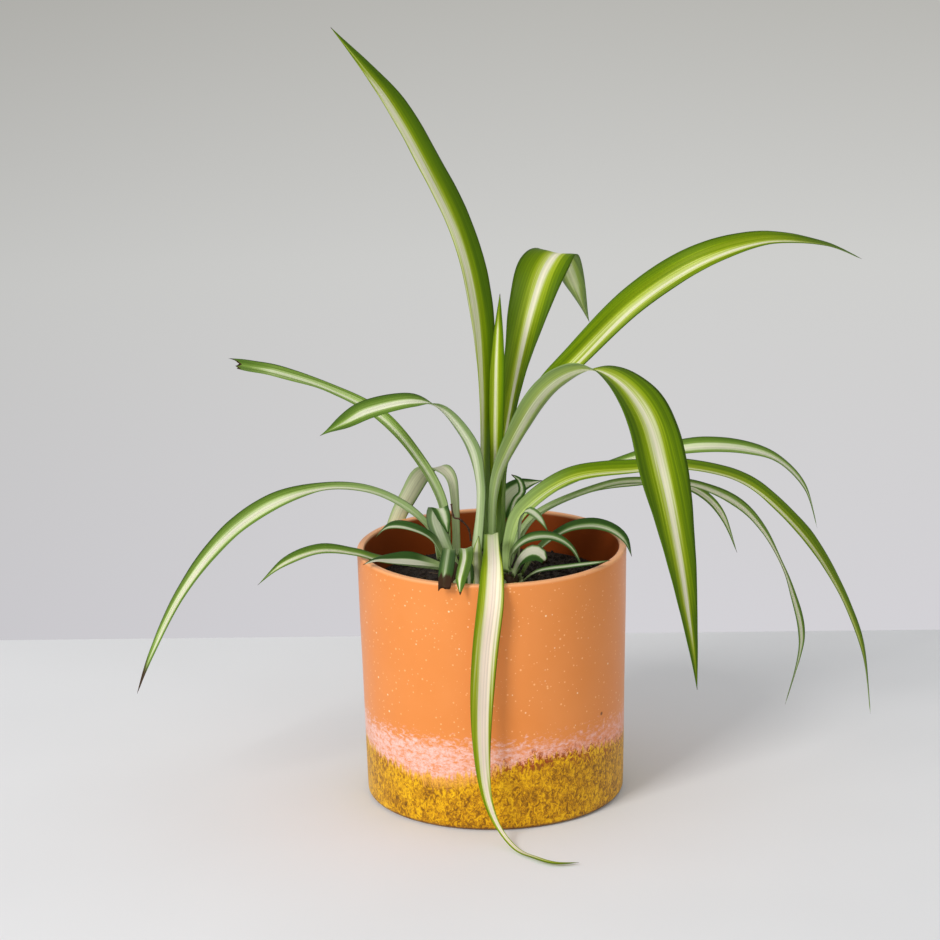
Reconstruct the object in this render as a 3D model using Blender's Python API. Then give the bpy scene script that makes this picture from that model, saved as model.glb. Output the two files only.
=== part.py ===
"""A young spider plant with three crowns, standing in a straight-sided glazed pot.

The origin is the centre of the pot's underside, +Z is up, and the plant is seen
from -Y. Lengths below are in millimetres and angles in degrees; the objects are
made in metres.
"""
import math

import bpy
from mathutils import Vector

MM = 0.001
GAP = 0.3                  # left between pieces that touch
ON_AXIS = 1e-6             # a radius or a distance below this counts as none
SHARP_ANGLE = 40

# Pot
RIM_RADIUS = 65.0
FOOT_RADIUS = 62.4
POT_HEIGHT = 123.0
WALL = 3.6
FLOOR = 4.0
RIM_ROUND = 0.9
FOOT_ROUND = 2.6
POT_SEGMENTS = 72

# Potting soil
SOIL_LEVEL = 103.0         # where the soil meets the wall
SOIL_MOUND = 1.2           # how much higher it is in the middle
SOIL_FLAT_SHARE = 0.62     # share of its radius that is level
SOIL_SLOPE_SHARE = 0.85    # where on its radius the slope is half way down
SOIL_SEGMENTS = 48

# Crowns: the packed leaf bases that stand on the soil
CROWNS = {
    "crown_main": {"at": (-4, -6), "foot": 6.5, "top": 4.6, "height": 16.5},
    "crown_left": {"at": (-19, -16), "foot": 4.8, "top": 3.4, "height": 15},
    "crown_right": {"at": (9, -9), "foot": 5.0, "top": 3.4, "height": 7},
}
CROWN_WAIST = 0.3          # how high the widest place is, as a share of the height
CROWN_FOOT_SHARE = 0.9     # its radius on the soil, as a share of the widest
CROWN_CAP_SHARE = 0.7      # radius of the flat top, as a share of "top"
CROWN_CHAMFER = 1.2
CROWN_SEGMENTS = 20

# Blades
BLADE_THICKNESS = 0.7
MARGIN_SHARE = 0.6         # thickness of the margins, as a share of the midrib's
THICKNESS_LIMIT = 0.5      # a blade is never thicker than this share of its width
TIP_WIDTH = 0.9
STATIONS_PER_SPAN = 3

# Each leaf runs along a smooth curve through the points of "path". "width" and
# "turn" are given at those points: turn tips the blade about its own run, from 0
# where the upper face looks up. "fold" is the slope of each half at the foot of
# the leaf and at its tip, because the blades are creased along the midrib.
LEAVES = {
    "leaf_tall": {
        "path": [(-5, -8, 122), (-2, -4, 165), (-1, -3, 205), (-3, -3, 242),
                 (-10, -4, 275), (-23, -6, 306), (-43, -9, 343), (-70, -12, 377)],
        "width": [8, 8.5, 11, 14.5, 15.5, 15.5, 12.5, TIP_WIDTH],
        "turn": [-50, -48, -52, -58, -50, -46, -44, -30],
        "fold": (25, 10),
    },
    "leaf_spear": {
        "path": [(2, -6, 122), (3, -5, 170), (4, -5, 205), (5, -4.5, 229), (6, -4, 248)],
        "width": [5, 7, 8.5, 5.5, TIP_WIDTH],
        "turn": [45, 45, 40, 35, 30],
        "fold": (25, 20),
    },
    "leaf_folded_back": {
        "path": [(1, 0, 122), (3, 2, 150), (7, 5, 180), (13, 9, 210), (20, 16, 237),
                 (27, 25, 255), (35, 37, 259), (43, 51, 238), (50, 66, 217)],
        "width": [8, 9, 12, 16, 22, 26, 22, 12, TIP_WIDTH],
        "turn": [-20, -15, -15, -5, 12, 12, 0, 0, 20],
        "fold": (25, 2),
    },
    "leaf_long_right": {
        "path": [(5, 3, 122), (5, 4, 150), (7, 5, 166), (15, 6, 183), (26, 6, 199),
                 (40, 6, 213), (69, 8, 241), (100, 8, 261), (131, 8, 270),
                 (160, 8, 267), (178, 8, 259)],
        "width": [7, 7.5, 8, 9, 10.5, 12.5, 14.5, 15, 13, 8, TIP_WIDTH],
        "turn": [38, 38, 38, 42, 52, 65, 70, 48, 22, 5, 0],
        "fold": (25, 12),
    },
    "leaf_front_right": {
        "path": [(0, -11.5, 118), (1, -11.5, 150), (7, -14, 172), (25, -30, 207), (44, -46, 223),
                 (60, -56, 220), (73, -66, 204), (80, -74, 178), (87, -80, 140), (92, -84, 100),
                 (94, -85, 77)],
        "width": [5.5, 7, 10.5, 17, 20, 23, 26, 25.5, 18, 7, TIP_WIDTH],
        "turn": [-5, -8, -18, -22, -18, 0, 18, 26, 15, 10, 0],
        "fold": (25, 8),
    },
    "leaf_right_arch": {
        "path": [(6.5, -17, 114), (8, -16, 130), (15, -13, 145), (38, -9, 160), (68, -10, 164),
                 (95, -12, 165), (123, -15, 157), (147, -18, 135), (164, -20, 109),
                 (177, -22, 76), (181, -24, 42)],
        "width": [7, 8, 9, 12, 14, 15, 15, 14, 12, 7.5, TIP_WIDTH],
        "turn": [30, 45, 55, 30, 15, 5, 10, 18, 15, 15, 0],
        "fold": (25, 10),
    },
    "leaf_right_back": {
        "path": [(7, 3, 119), (16, 6, 138), (30, 9, 148), (55, 12, 158), (77, 14, 164),
                 (101, 16, 167), (123, 18, 165), (140, 20, 158), (153, 22, 143),
                 (159, 23, 122)],
        "width": [6, 7, 8, 9, 11, 12.5, 12, 9, 5, TIP_WIDTH],
        "turn": [10, 10, 10, 10, 15, 25, 20, 18, 25, 10],
        "fold": (25, 10),
    },
    "leaf_right_low": {
        "path": [(7, -4, 114), (14, -2, 131), (27, 3, 141), (58, 4, 152), (81, 3, 153),
                 (100, 2, 151), (119, 0, 142), (131, -2, 129), (140, -4, 112),
                 (145, -5, 97), (149, -6, 80), (148, -7, 66), (141, -9, 42)],
        "width": [5, 6, 6, 6.5, 8, 10, 11, 9, 7, 7, 7, 5, TIP_WIDTH],
        "turn": [17, 17, 17, 18, 8, 8, 16, 14, 6, 23, 31, 26, 10],
        "fold": (25, 10),
    },
    "leaf_right_short": {
        "path": [(8, 0, 112), (20, 9, 133), (45, 14, 145), (70, 14, 149), (86, 12, 150),
                 (97, 11, 147), (106, 10, 141), (113, 10, 131), (119, 10, 114)],
        "width": [5, 5, 5.5, 6, 7, 8, 8, 6, TIP_WIDTH],
        "turn": [15, 15, 15, 15, 15, 18, 25, 30, 20],
        "fold": (25, 10),
    },
    "leaf_front_hanging": {
        "path": [(0, -16, 106), (0, -17, 125), (0, -25, 136.5), (0, -42, 134), (0, -62, 129.5),
                 (-1, -71, 116), (-4, -73, 92), (-6, -75, 65), (-6, -76, 40), (-4, -77, 22),
                 (1, -78, 8), (9, -89, 1.4), (18, -100, 1.2), (27, -107, 1.2), (38, -107, 1.2)],
        "width": [7, 7, 7, 8, 11, 13, 13, 11, 8, 5, 3, 3, 3, 3, TIP_WIDTH],
        "turn": [0, 0, 0, 5, 8, 12, 6, 10, 0, 0, 0, 0, 0, 0, 0],
        "fold": (20, 5),
    },
    "leaf_left_arch": {
        "path": [(-8, -14, 106), (-7, -14, 126), (-5, -13, 145), (-5, -12, 160),
                 (-9, -13, 178), (-22, -16, 196), (-36, -19, 201), (-56, -22, 198),
                 (-69, -24, 192), (-80, -26, 186)],
        "width": [9, 10, 10, 10.5, 12, 10, 12, 13.5, 10, TIP_WIDTH],
        "turn": [22, 22, 15, 20, 30, 25, -20, -28, -25, 0],
        "fold": (25, 10),
    },
    "leaf_left_torn": {
        "path": [(-21, -11, 122), (-23, -2, 145), (-34, 4, 166), (-52, 7, 187), (-76, 10, 200),
                 (-100, 12, 208), (-115, 13, 211), (-125, 13, 213)],
        "width": [6, 7, 7, 8.5, 9.5, 12, 11, 2],
        "turn": [-20, -28, -30, -26, -10, -12, -15, -15],
        "fold": (25, 10),
    },
    "leaf_left_long": {
        "path": [(-25, -14, 120), (-28, -9, 133), (-40, -10, 146), (-58, -13, 156),
                 (-80, -18, 159), (-105, -21, 152), (-128, -25, 136),
                 (-148, -28, 111), (-163, -30, 82), (-171, -30, 61)],
        "width": [6, 7, 8, 10, 12, 14, 14, 12.5, 7.5, 1.5],
        "turn": [-25, -20, -20, -8, -5, -22, -22, -15, -15, -15],
        "fold": (25, 10),
    },
    "leaf_left_short": {
        "path": [(-23, -21, 119), (-38, -20, 121), (-53, -19, 123), (-65, -20, 127),
                 (-82, -21, 129), (-99, -22, 123), (-112, -23, 112)],
        "width": [5.5, 7, 8, 9, 9.5, 6.5, TIP_WIDTH],
        "turn": [-30, -20, -10, -9, -16, -26, 0],
        "fold": (25, 10),
    },
    "leaf_back_left": {
        "path": [(-17, -10, 121), (-17, -3, 133), (-18, 6, 152), (-23, 14, 158),
                 (-29, 21, 157), (-34, 28, 151), (-40, 39, 138), (-46, 50, 124),
                 (-51, 58, 109), (-55, 64, 92)],
        "width": [6, 7, 9, 10, 10, 10, 9, 8, 6, TIP_WIDTH],
        "turn": [18, 30, 31, 0, 10, 31, 50, 40, 37, 30],
        "fold": (20, 8),
    },
    "left_curled": {
        "path": [(-20, -17, 123), (-24, -16.5, 133), (-26.5, -16.5, 141), (-26, -18, 147),
                 (-24, -21, 148), (-22, -23, 143), (-20.5, -23.5, 136)],
        "width": [5, 8, 9, 8.5, 8, 6, TIP_WIDTH],
        "turn": [0, 0, 0, 0, 0, 0, 0],
        "lean": -90,
        "fold": (20, 10),
    },
    "left_small_arch": {
        "path": [(-22, -21, 122), (-28, -22, 134), (-39, -19, 139), (-49, -14, 138),
                 (-56, -12, 131)],
        "width": [5, 7, 8, 6, TIP_WIDTH],
        "turn": [0, -5, -12, -18, 0],
        "fold": (20, 10),
    },
    "left_lying": {
        "path": [(-23, -25, 121), (-37, -28, 125.5), (-48, -30.5, 126.5), (-55, -32, 126.5),
                 (-61, -34.5, 124.8)],
        "width": [5, 9, 8, 5, TIP_WIDTH],
        "turn": [-15, -30, -20, -5, 0],
        "fold": (20, 5),
    },
    "left_withered": {
        "path": [(-20, -22, 125), (-20, -29, 130.5), (-20.5, -43, 130.5), (-21.5, -59, 128),
                 (-22.5, -68, 121.5)],
        "width": [5, 6, 7, 7, 5.5],
        "turn": [0, -8, -12, -8, 0],
        "fold": (15, 5),
    },
    "left_over_rim": {
        "path": [(-14.5, -22, 125), (-12.5, -29, 131), (-12, -43, 130.5), (-13.5, -58, 128),
                 (-14.5, -65.5, 126), (-15, -69, 120)],
        "width": [5, 6.5, 7, 6.5, 5, TIP_WIDTH],
        "turn": [0, 8, 12, 8, 0, 0],
        "fold": (20, 5),
    },
    "left_inner": {
        "path": [(-14, -20, 116), (-12, -27, 122), (-11, -40, 119), (-11, -47, 114)],
        "width": [4, 5.5, 5, TIP_WIDTH],
        "turn": [0, 0, 0, 0],
        "fold": (20, 5),
    },
    "front_upright": {
        "path": [(-7, -23, 106), (-7, -23, 117), (-7, -22, 126), (-6, -21, 134)],
        "width": [5, 6, 5, TIP_WIDTH],
        "turn": [0, 0, 0, 0],
        "lean": -90,
        "fold": (25, 15),
    },
    "right_dark_back": {
        "path": [(3, 8, 106), (2.5, 9, 128), (6, 10, 142), (14, 12, 149), (25, 14, 151)],
        "width": [5, 8, 11, 9, TIP_WIDTH],
        "turn": [30, 38, 45, 40, 20],
        "fold": (20, 10),
    },
    "right_hooked": {
        "path": [(6, -3, 122), (11, -3, 144), (15, -3, 150), (14, -3, 156), (10, -3, 159)],
        "width": [3.5, 4, 4, 3, TIP_WIDTH],
        "turn": [-80, -80, -80, -80, -80],
        "lean": 180,
        "fold": (20, 10),
    },
    "right_bright_arch": {
        "path": [(12.5, -18.6, 115), (12.9, -19, 132), (13.9, -20, 142), (17, -21, 146.5),
                 (22, -23, 144), (27, -28, 137.5)],
        "width": [4, 4.5, 6, 6, 5, TIP_WIDTH],
        "turn": [15, 15, 15, 15, 15, 0],
        "fold": (20, 10),
    },
    "right_front_arch": {
        "path": [(8, -22.2, 117), (9.5, -24.4, 127), (17.5, -25.4, 134), (29, -27, 135),
                 (38, -30, 130), (43, -36, 121)],
        "width": [5, 6.5, 8, 7, 4, TIP_WIDTH],
        "turn": [30, 30, 28, 16, 10, 0],
        "fold": (20, 10),
    },
    "right_over_rim": {
        "path": [(14, -12, 112), (22, -11, 124), (35, -8, 133), (47, -6, 135),
                 (57, -7, 133), (64, -10, 128), (67, -13, 120)],
        "width": [5, 6, 8, 8.5, 7.5, 5.5, TIP_WIDTH],
        "turn": [16, 16, 18, 25, 29, 30, 20],
        "fold": (20, 10),
    },
    "right_crumpled": {
        "path": [(9.5, -26.8, 115), (13, -28.3, 123.5), (18, -30.2, 128), (22.5, -31, 127.5),
                 (25.5, -32, 123.5)],
        "width": [5, 8, 9.5, 8.5, 3],
        "turn": [30, 38, 42, 40, 30],
        "fold": (20, 15),
    },
    "right_along_rim": {
        "path": [(14, -24, 112), (22, -36, 121), (37, -39, 124), (50, -41, 126),
                 (56, -41, 127)],
        "width": [3.5, 4.5, 5, 3, TIP_WIDTH],
        "turn": [12, 12, 12, 12, 0],
        "fold": (20, 10),
    },
}

# Dry flower stalk, a thin kinked twig
STALK_PATH = [(-10, -9, 128), (-11, -8, 134), (-15, -6, 138), (-18, -5, 139), (-19, -3, 145)]
STALK_RADIUS = 0.5

# Colours as linear RGB, with roughness
FINISHES = {
    "pot_glaze": ((0.83, 0.28, 0.07), 0.3),
    "soil": ((0.02, 0.013, 0.01), 0.95),
    "leaf_green": ((0.16, 0.33, 0.03), 0.45),
    "leaf_dark": ((0.05, 0.16, 0.05), 0.45),
    "leaf_base": ((0.35, 0.5, 0.2), 0.5),
    "dry_stalk": ((0.05, 0.025, 0.012), 0.8),
}


def clear_scene():
    for item in list(bpy.data.objects):
        bpy.data.objects.remove(item, do_unlink=True)


def make_materials():
    materials = {}
    for name, (colour, roughness) in FINISHES.items():
        material = bpy.data.materials.new(name)
        material.use_nodes = True
        shader = material.node_tree.nodes["Principled BSDF"]
        shader.inputs["Base Color"].default_value = (*colour, 1.0)
        shader.inputs["Roughness"].default_value = roughness
        material.diffuse_color = (*colour, 1.0)
        materials[name] = material
    return materials


def add_object(name, mesh, material):
    mesh.materials.append(material)
    mesh.shade_smooth()
    mesh.set_sharp_from_angle(angle=math.radians(SHARP_ANGLE))
    item = bpy.data.objects.new(name, mesh)
    bpy.context.scene.collection.objects.link(item)
    return item


def mesh_from(name, points, faces):
    """A mesh in metres from points in millimetres."""
    mesh = bpy.data.meshes.new(name)
    mesh.from_pydata([Vector(p) * MM for p in points], [], faces)
    mesh.update()
    return mesh


def quarter(centre, radius, start, steps=4):
    """Points of a quarter circle in a profile, turning right from the start angle."""
    angles = [math.radians(start - 90 * i / steps) for i in range(steps + 1)]
    return [(centre[0] + radius * math.cos(a), centre[1] + radius * math.sin(a)) for a in angles]


def turned(name, profile, centre=(0, 0), segments=POT_SEGMENTS):
    """A turned solid. The profile starts and ends on the axis and goes down the outside."""
    points = []
    rows = []
    for radius, height in profile:
        if radius < ON_AXIS:
            rows.append([len(points)] * segments)
            points.append((*centre, height))
            continue
        rows.append(range(len(points), len(points) + segments))
        for i in range(segments):
            angle = 2 * math.pi * i / segments
            points.append((centre[0] + radius * math.cos(angle),
                           centre[1] + radius * math.sin(angle), height))
    faces = []
    for upper, lower in zip(rows, rows[1:]):
        for i in range(segments):
            j = (i + 1) % segments
            corners = [upper[i], lower[i], lower[j], upper[j]]
            faces.append(list(dict.fromkeys(corners)))
    return mesh_from(name, points, faces)


def outer_radius(height):
    """The pot's outside radius, which widens evenly from the foot to the rim."""
    return FOOT_RADIUS + (RIM_RADIUS - FOOT_RADIUS) * height / POT_HEIGHT


def make_pot(material):
    rim = POT_HEIGHT - RIM_ROUND
    inside = outer_radius(rim) - WALL
    profile = [(0, FLOOR), (outer_radius(FLOOR) - WALL, FLOOR), (inside, rim)]
    profile += quarter((inside + RIM_ROUND, rim), RIM_ROUND, 180)
    profile += quarter((outer_radius(rim) - RIM_ROUND, rim), RIM_ROUND, 90)
    profile += quarter((FOOT_RADIUS - FOOT_ROUND, FOOT_ROUND), FOOT_ROUND, 0)
    profile += [(0, 0)]
    unique = [p for i, p in enumerate(profile) if i == 0 or math.dist(p, profile[i - 1]) > ON_AXIS]
    add_object("pot", turned("pot", unique), material)


def make_soil(material):
    foot = FLOOR + GAP
    bottom = outer_radius(foot) - WALL - GAP
    top = outer_radius(SOIL_LEVEL) - WALL - GAP
    middle = SOIL_LEVEL + SOIL_MOUND
    profile = [
        (0, middle),
        (top * SOIL_FLAT_SHARE, middle),
        (top * SOIL_SLOPE_SHARE, SOIL_LEVEL + SOIL_MOUND / 2),
        (top, SOIL_LEVEL),
        (bottom, foot),
        (0, foot),
    ]
    add_object("soil", turned("soil", profile, segments=SOIL_SEGMENTS), material)


def make_crown(name, crown, material):
    foot = SOIL_LEVEL + SOIL_MOUND + GAP
    top = foot + crown["height"]
    waist = foot + crown["height"] * CROWN_WAIST
    profile = [
        (0, top),
        (crown["top"] * CROWN_CAP_SHARE, top),
        (crown["top"], top - CROWN_CHAMFER),
        (crown["foot"], waist),
        (crown["foot"] * CROWN_FOOT_SHARE, foot),
        (0, foot),
    ]
    add_object(name, turned(name, profile, crown["at"], segments=CROWN_SEGMENTS), material)


def between(values, position):
    """Catmull-Rom value at a position counted in spans along the list."""
    last = len(values) - 1
    span = min(int(position), last - 1)
    t = position - span
    a, b, c, d = (values[min(max(span + k, 0), last)] for k in (-1, 0, 1, 2))
    return 0.5 * (2 * b + (c - a) * t + (2 * a - 5 * b + 4 * c - d) * t ** 2
                  + (3 * b - a - 3 * c + d) * t ** 3)


def blade_stations(leaf):
    """Centre, side and upper-face directions, width and fold along a leaf."""
    path = [Vector(p) for p in leaf["path"]]
    reach = path[-1] - path[0]
    lean = math.radians(leaf["lean"]) if "lean" in leaf else math.atan2(reach.y, reach.x)
    level_side = Vector((-math.sin(lean), math.cos(lean), 0))
    spans = len(path) - 1
    count = spans * STATIONS_PER_SPAN
    centres = [between(path, spans * i / count) for i in range(count + 1)]
    stations = []
    for i, centre in enumerate(centres):
        along = (centres[min(i + 1, count)] - centres[max(i - 1, 0)]).normalized()
        side = (level_side - level_side.dot(along) * along).normalized()
        turn = math.radians(between(leaf["turn"], spans * i / count))
        side = math.cos(turn) * side + math.sin(turn) * along.cross(side)
        width = max(between(leaf["width"], spans * i / count), TIP_WIDTH)
        start, end = leaf["fold"]
        fold = math.radians(start + (end - start) * i / count)
        stations.append((centre, side, along.cross(side), width, fold))
    return stations


def make_leaf(name, leaf, material):
    points = []
    for centre, side, upper, width, fold in blade_stations(leaf):
        thick = min(BLADE_THICKNESS, width * THICKNESS_LIMIT)
        half = width / 2 * math.cos(fold) * side
        margin = thick / 2 * MARGIN_SHARE * upper
        midrib = centre - width / 2 * math.sin(fold) * upper
        rib = thick / 2 * upper
        points += [centre + half + margin, midrib + rib, centre - half + margin,
                   centre - half - margin, midrib - rib, centre + half - margin]
    ring = 6
    faces = []
    for start in range(0, len(points) - ring, ring):
        for i in range(ring):
            j = (i + 1) % ring
            faces.append([start + i, start + j, start + ring + j, start + ring + i])
    last = len(points) - ring
    for first, turn in ((0, -1), (last, 1)):
        left = [first, first + 1, first + 4, first + 5]
        right = [first + 1, first + 2, first + 3, first + 4]
        faces += [left[::turn], right[::turn]]
    add_object(name, mesh_from(name, points, faces), material)


def make_stalk(material):
    curve = bpy.data.curves.new("dry_stalk", "CURVE")
    curve.dimensions = "3D"
    curve.bevel_depth = STALK_RADIUS * MM
    curve.bevel_resolution = 1
    curve.use_fill_caps = True
    path = [Vector(p) * MM for p in STALK_PATH]
    count = (len(path) - 1) * STATIONS_PER_SPAN
    spline = curve.splines.new("POLY")
    spline.points.add(count)
    for i, point in enumerate(spline.points):
        point.co = (*between(path, (len(path) - 1) * i / count), 1.0)
    curve.materials.append(material)
    item = bpy.data.objects.new("dry_stalk", curve)
    bpy.context.scene.collection.objects.link(item)


def main():
    clear_scene()
    materials = make_materials()
    make_pot(materials["pot_glaze"])
    make_soil(materials["soil"])
    for name, crown in CROWNS.items():
        make_crown(name, crown, materials["leaf_base"])
    for name, leaf in LEAVES.items():
        finish = "leaf_green" if name.startswith("leaf_") else "leaf_dark"
        make_leaf(name, leaf, materials[finish])
    make_stalk(materials["dry_stalk"])


main()
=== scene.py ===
# Looks of a young spider plant in a glazed pot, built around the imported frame.
# Lengths in the dictionaries are millimetres and angles are degrees.
import math

import bmesh
import bpy
from mathutils import Matrix, Vector, noise


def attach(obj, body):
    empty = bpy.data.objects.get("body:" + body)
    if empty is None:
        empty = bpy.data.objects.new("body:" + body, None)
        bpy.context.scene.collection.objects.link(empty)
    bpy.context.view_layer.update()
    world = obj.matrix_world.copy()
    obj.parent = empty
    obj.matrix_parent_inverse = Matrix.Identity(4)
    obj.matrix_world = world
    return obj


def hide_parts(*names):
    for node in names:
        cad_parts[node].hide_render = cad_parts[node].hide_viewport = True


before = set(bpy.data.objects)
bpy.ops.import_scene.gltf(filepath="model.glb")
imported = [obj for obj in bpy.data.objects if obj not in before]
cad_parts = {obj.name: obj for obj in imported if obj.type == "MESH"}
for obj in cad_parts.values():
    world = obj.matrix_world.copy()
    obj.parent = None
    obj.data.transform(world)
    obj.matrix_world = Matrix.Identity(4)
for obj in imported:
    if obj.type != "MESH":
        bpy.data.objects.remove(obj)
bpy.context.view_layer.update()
mm = 0.001


def hexColour(text):
    # sRGB hex to linear RGBA
    parts = [int(text[i:i + 2], 16) / 255 for i in (1, 3, 5)]
    linear = [p / 12.92 if p <= 0.04045 else ((p + 0.055) / 1.055) ** 2.4 for p in parts]
    return (*linear, 1.0)


def addNode(tree, kind, links=None, **settings):
    # links maps an input to a value, to a socket, or to a node whose first output it takes
    node = tree.nodes.new(kind)
    for name, value in settings.items():
        setattr(node, name, value)
    for socket, value in (links or {}).items():
        if isinstance(value, bpy.types.Node):
            value = value.outputs[0]
        if isinstance(value, bpy.types.NodeSocket):
            tree.links.new(value, node.inputs[socket])
        else:
            node.inputs[socket].default_value = value
    return node


def perCell(*sizes):
    # The scale of a pattern whose cells have these sizes
    return tuple(1 / (size * mm) for size in sizes)


def setRamp(node, stops):
    ramp = node.color_ramp
    while len(ramp.elements) > 1:
        ramp.elements.remove(ramp.elements[-1])
    for i, (position, colour) in enumerate(stops):
        element = ramp.elements[0] if i == 0 else ramp.elements.new(position)
        element.position = position
        element.color = hexColour(colour)


def newMaterial(name):
    material = bpy.data.materials.new(name)
    material.use_nodes = True
    material.node_tree.nodes.clear()
    output = addNode(material.node_tree, "ShaderNodeOutputMaterial")
    return material, material.node_tree, output


def newTree(name, sockets):
    # A geometry tree with named inputs; sockets maps an input's name to its socket type
    tree = bpy.data.node_groups.new(name, "GeometryNodeTree")
    tree.interface.new_socket("Geometry", in_out="INPUT", socket_type="NodeSocketGeometry")
    for label, kind in sockets.items():
        tree.interface.new_socket(label, in_out="INPUT", socket_type=kind)
    tree.interface.new_socket("Geometry", in_out="OUTPUT", socket_type="NodeSocketGeometry")
    return tree, addNode(tree, "NodeGroupInput").outputs


def closeTree(tree, geometry, material):
    real = addNode(tree, "GeometryNodeRealizeInstances", {"Geometry": geometry})
    dressed = addNode(tree, "GeometryNodeSetMaterial", {"Geometry": real, "Material": material})
    addNode(tree, "NodeGroupOutput", {0: dressed})


def grow(item, tree, values):
    # Runs a tree on an object and leaves its result as the object's own plain mesh
    modifier = item.modifiers.new(tree.name, "NODES")
    modifier.node_group = tree
    for socket in tree.interface.items_tree:
        if socket.in_out == "INPUT" and socket.name in values:
            modifier[socket.identifier] = values[socket.name]
    bpy.context.view_layer.update()
    depsgraph = bpy.context.evaluated_depsgraph_get()
    mesh = bpy.data.meshes.new_from_object(
        item.evaluated_get(depsgraph), preserve_all_data_layers=True, depsgraph=depsgraph)
    item.modifiers.remove(modifier)
    item.data = mesh
    mesh.name = item.name
    return item


def addObject(name, mesh, material=None):
    item = bpy.data.objects.new(name, mesh)
    bpy.context.scene.collection.objects.link(item)
    if material:
        mesh.materials.append(material)
    return item


def place(piece, nodes):
    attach(piece, "root")
    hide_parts(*nodes)


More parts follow.
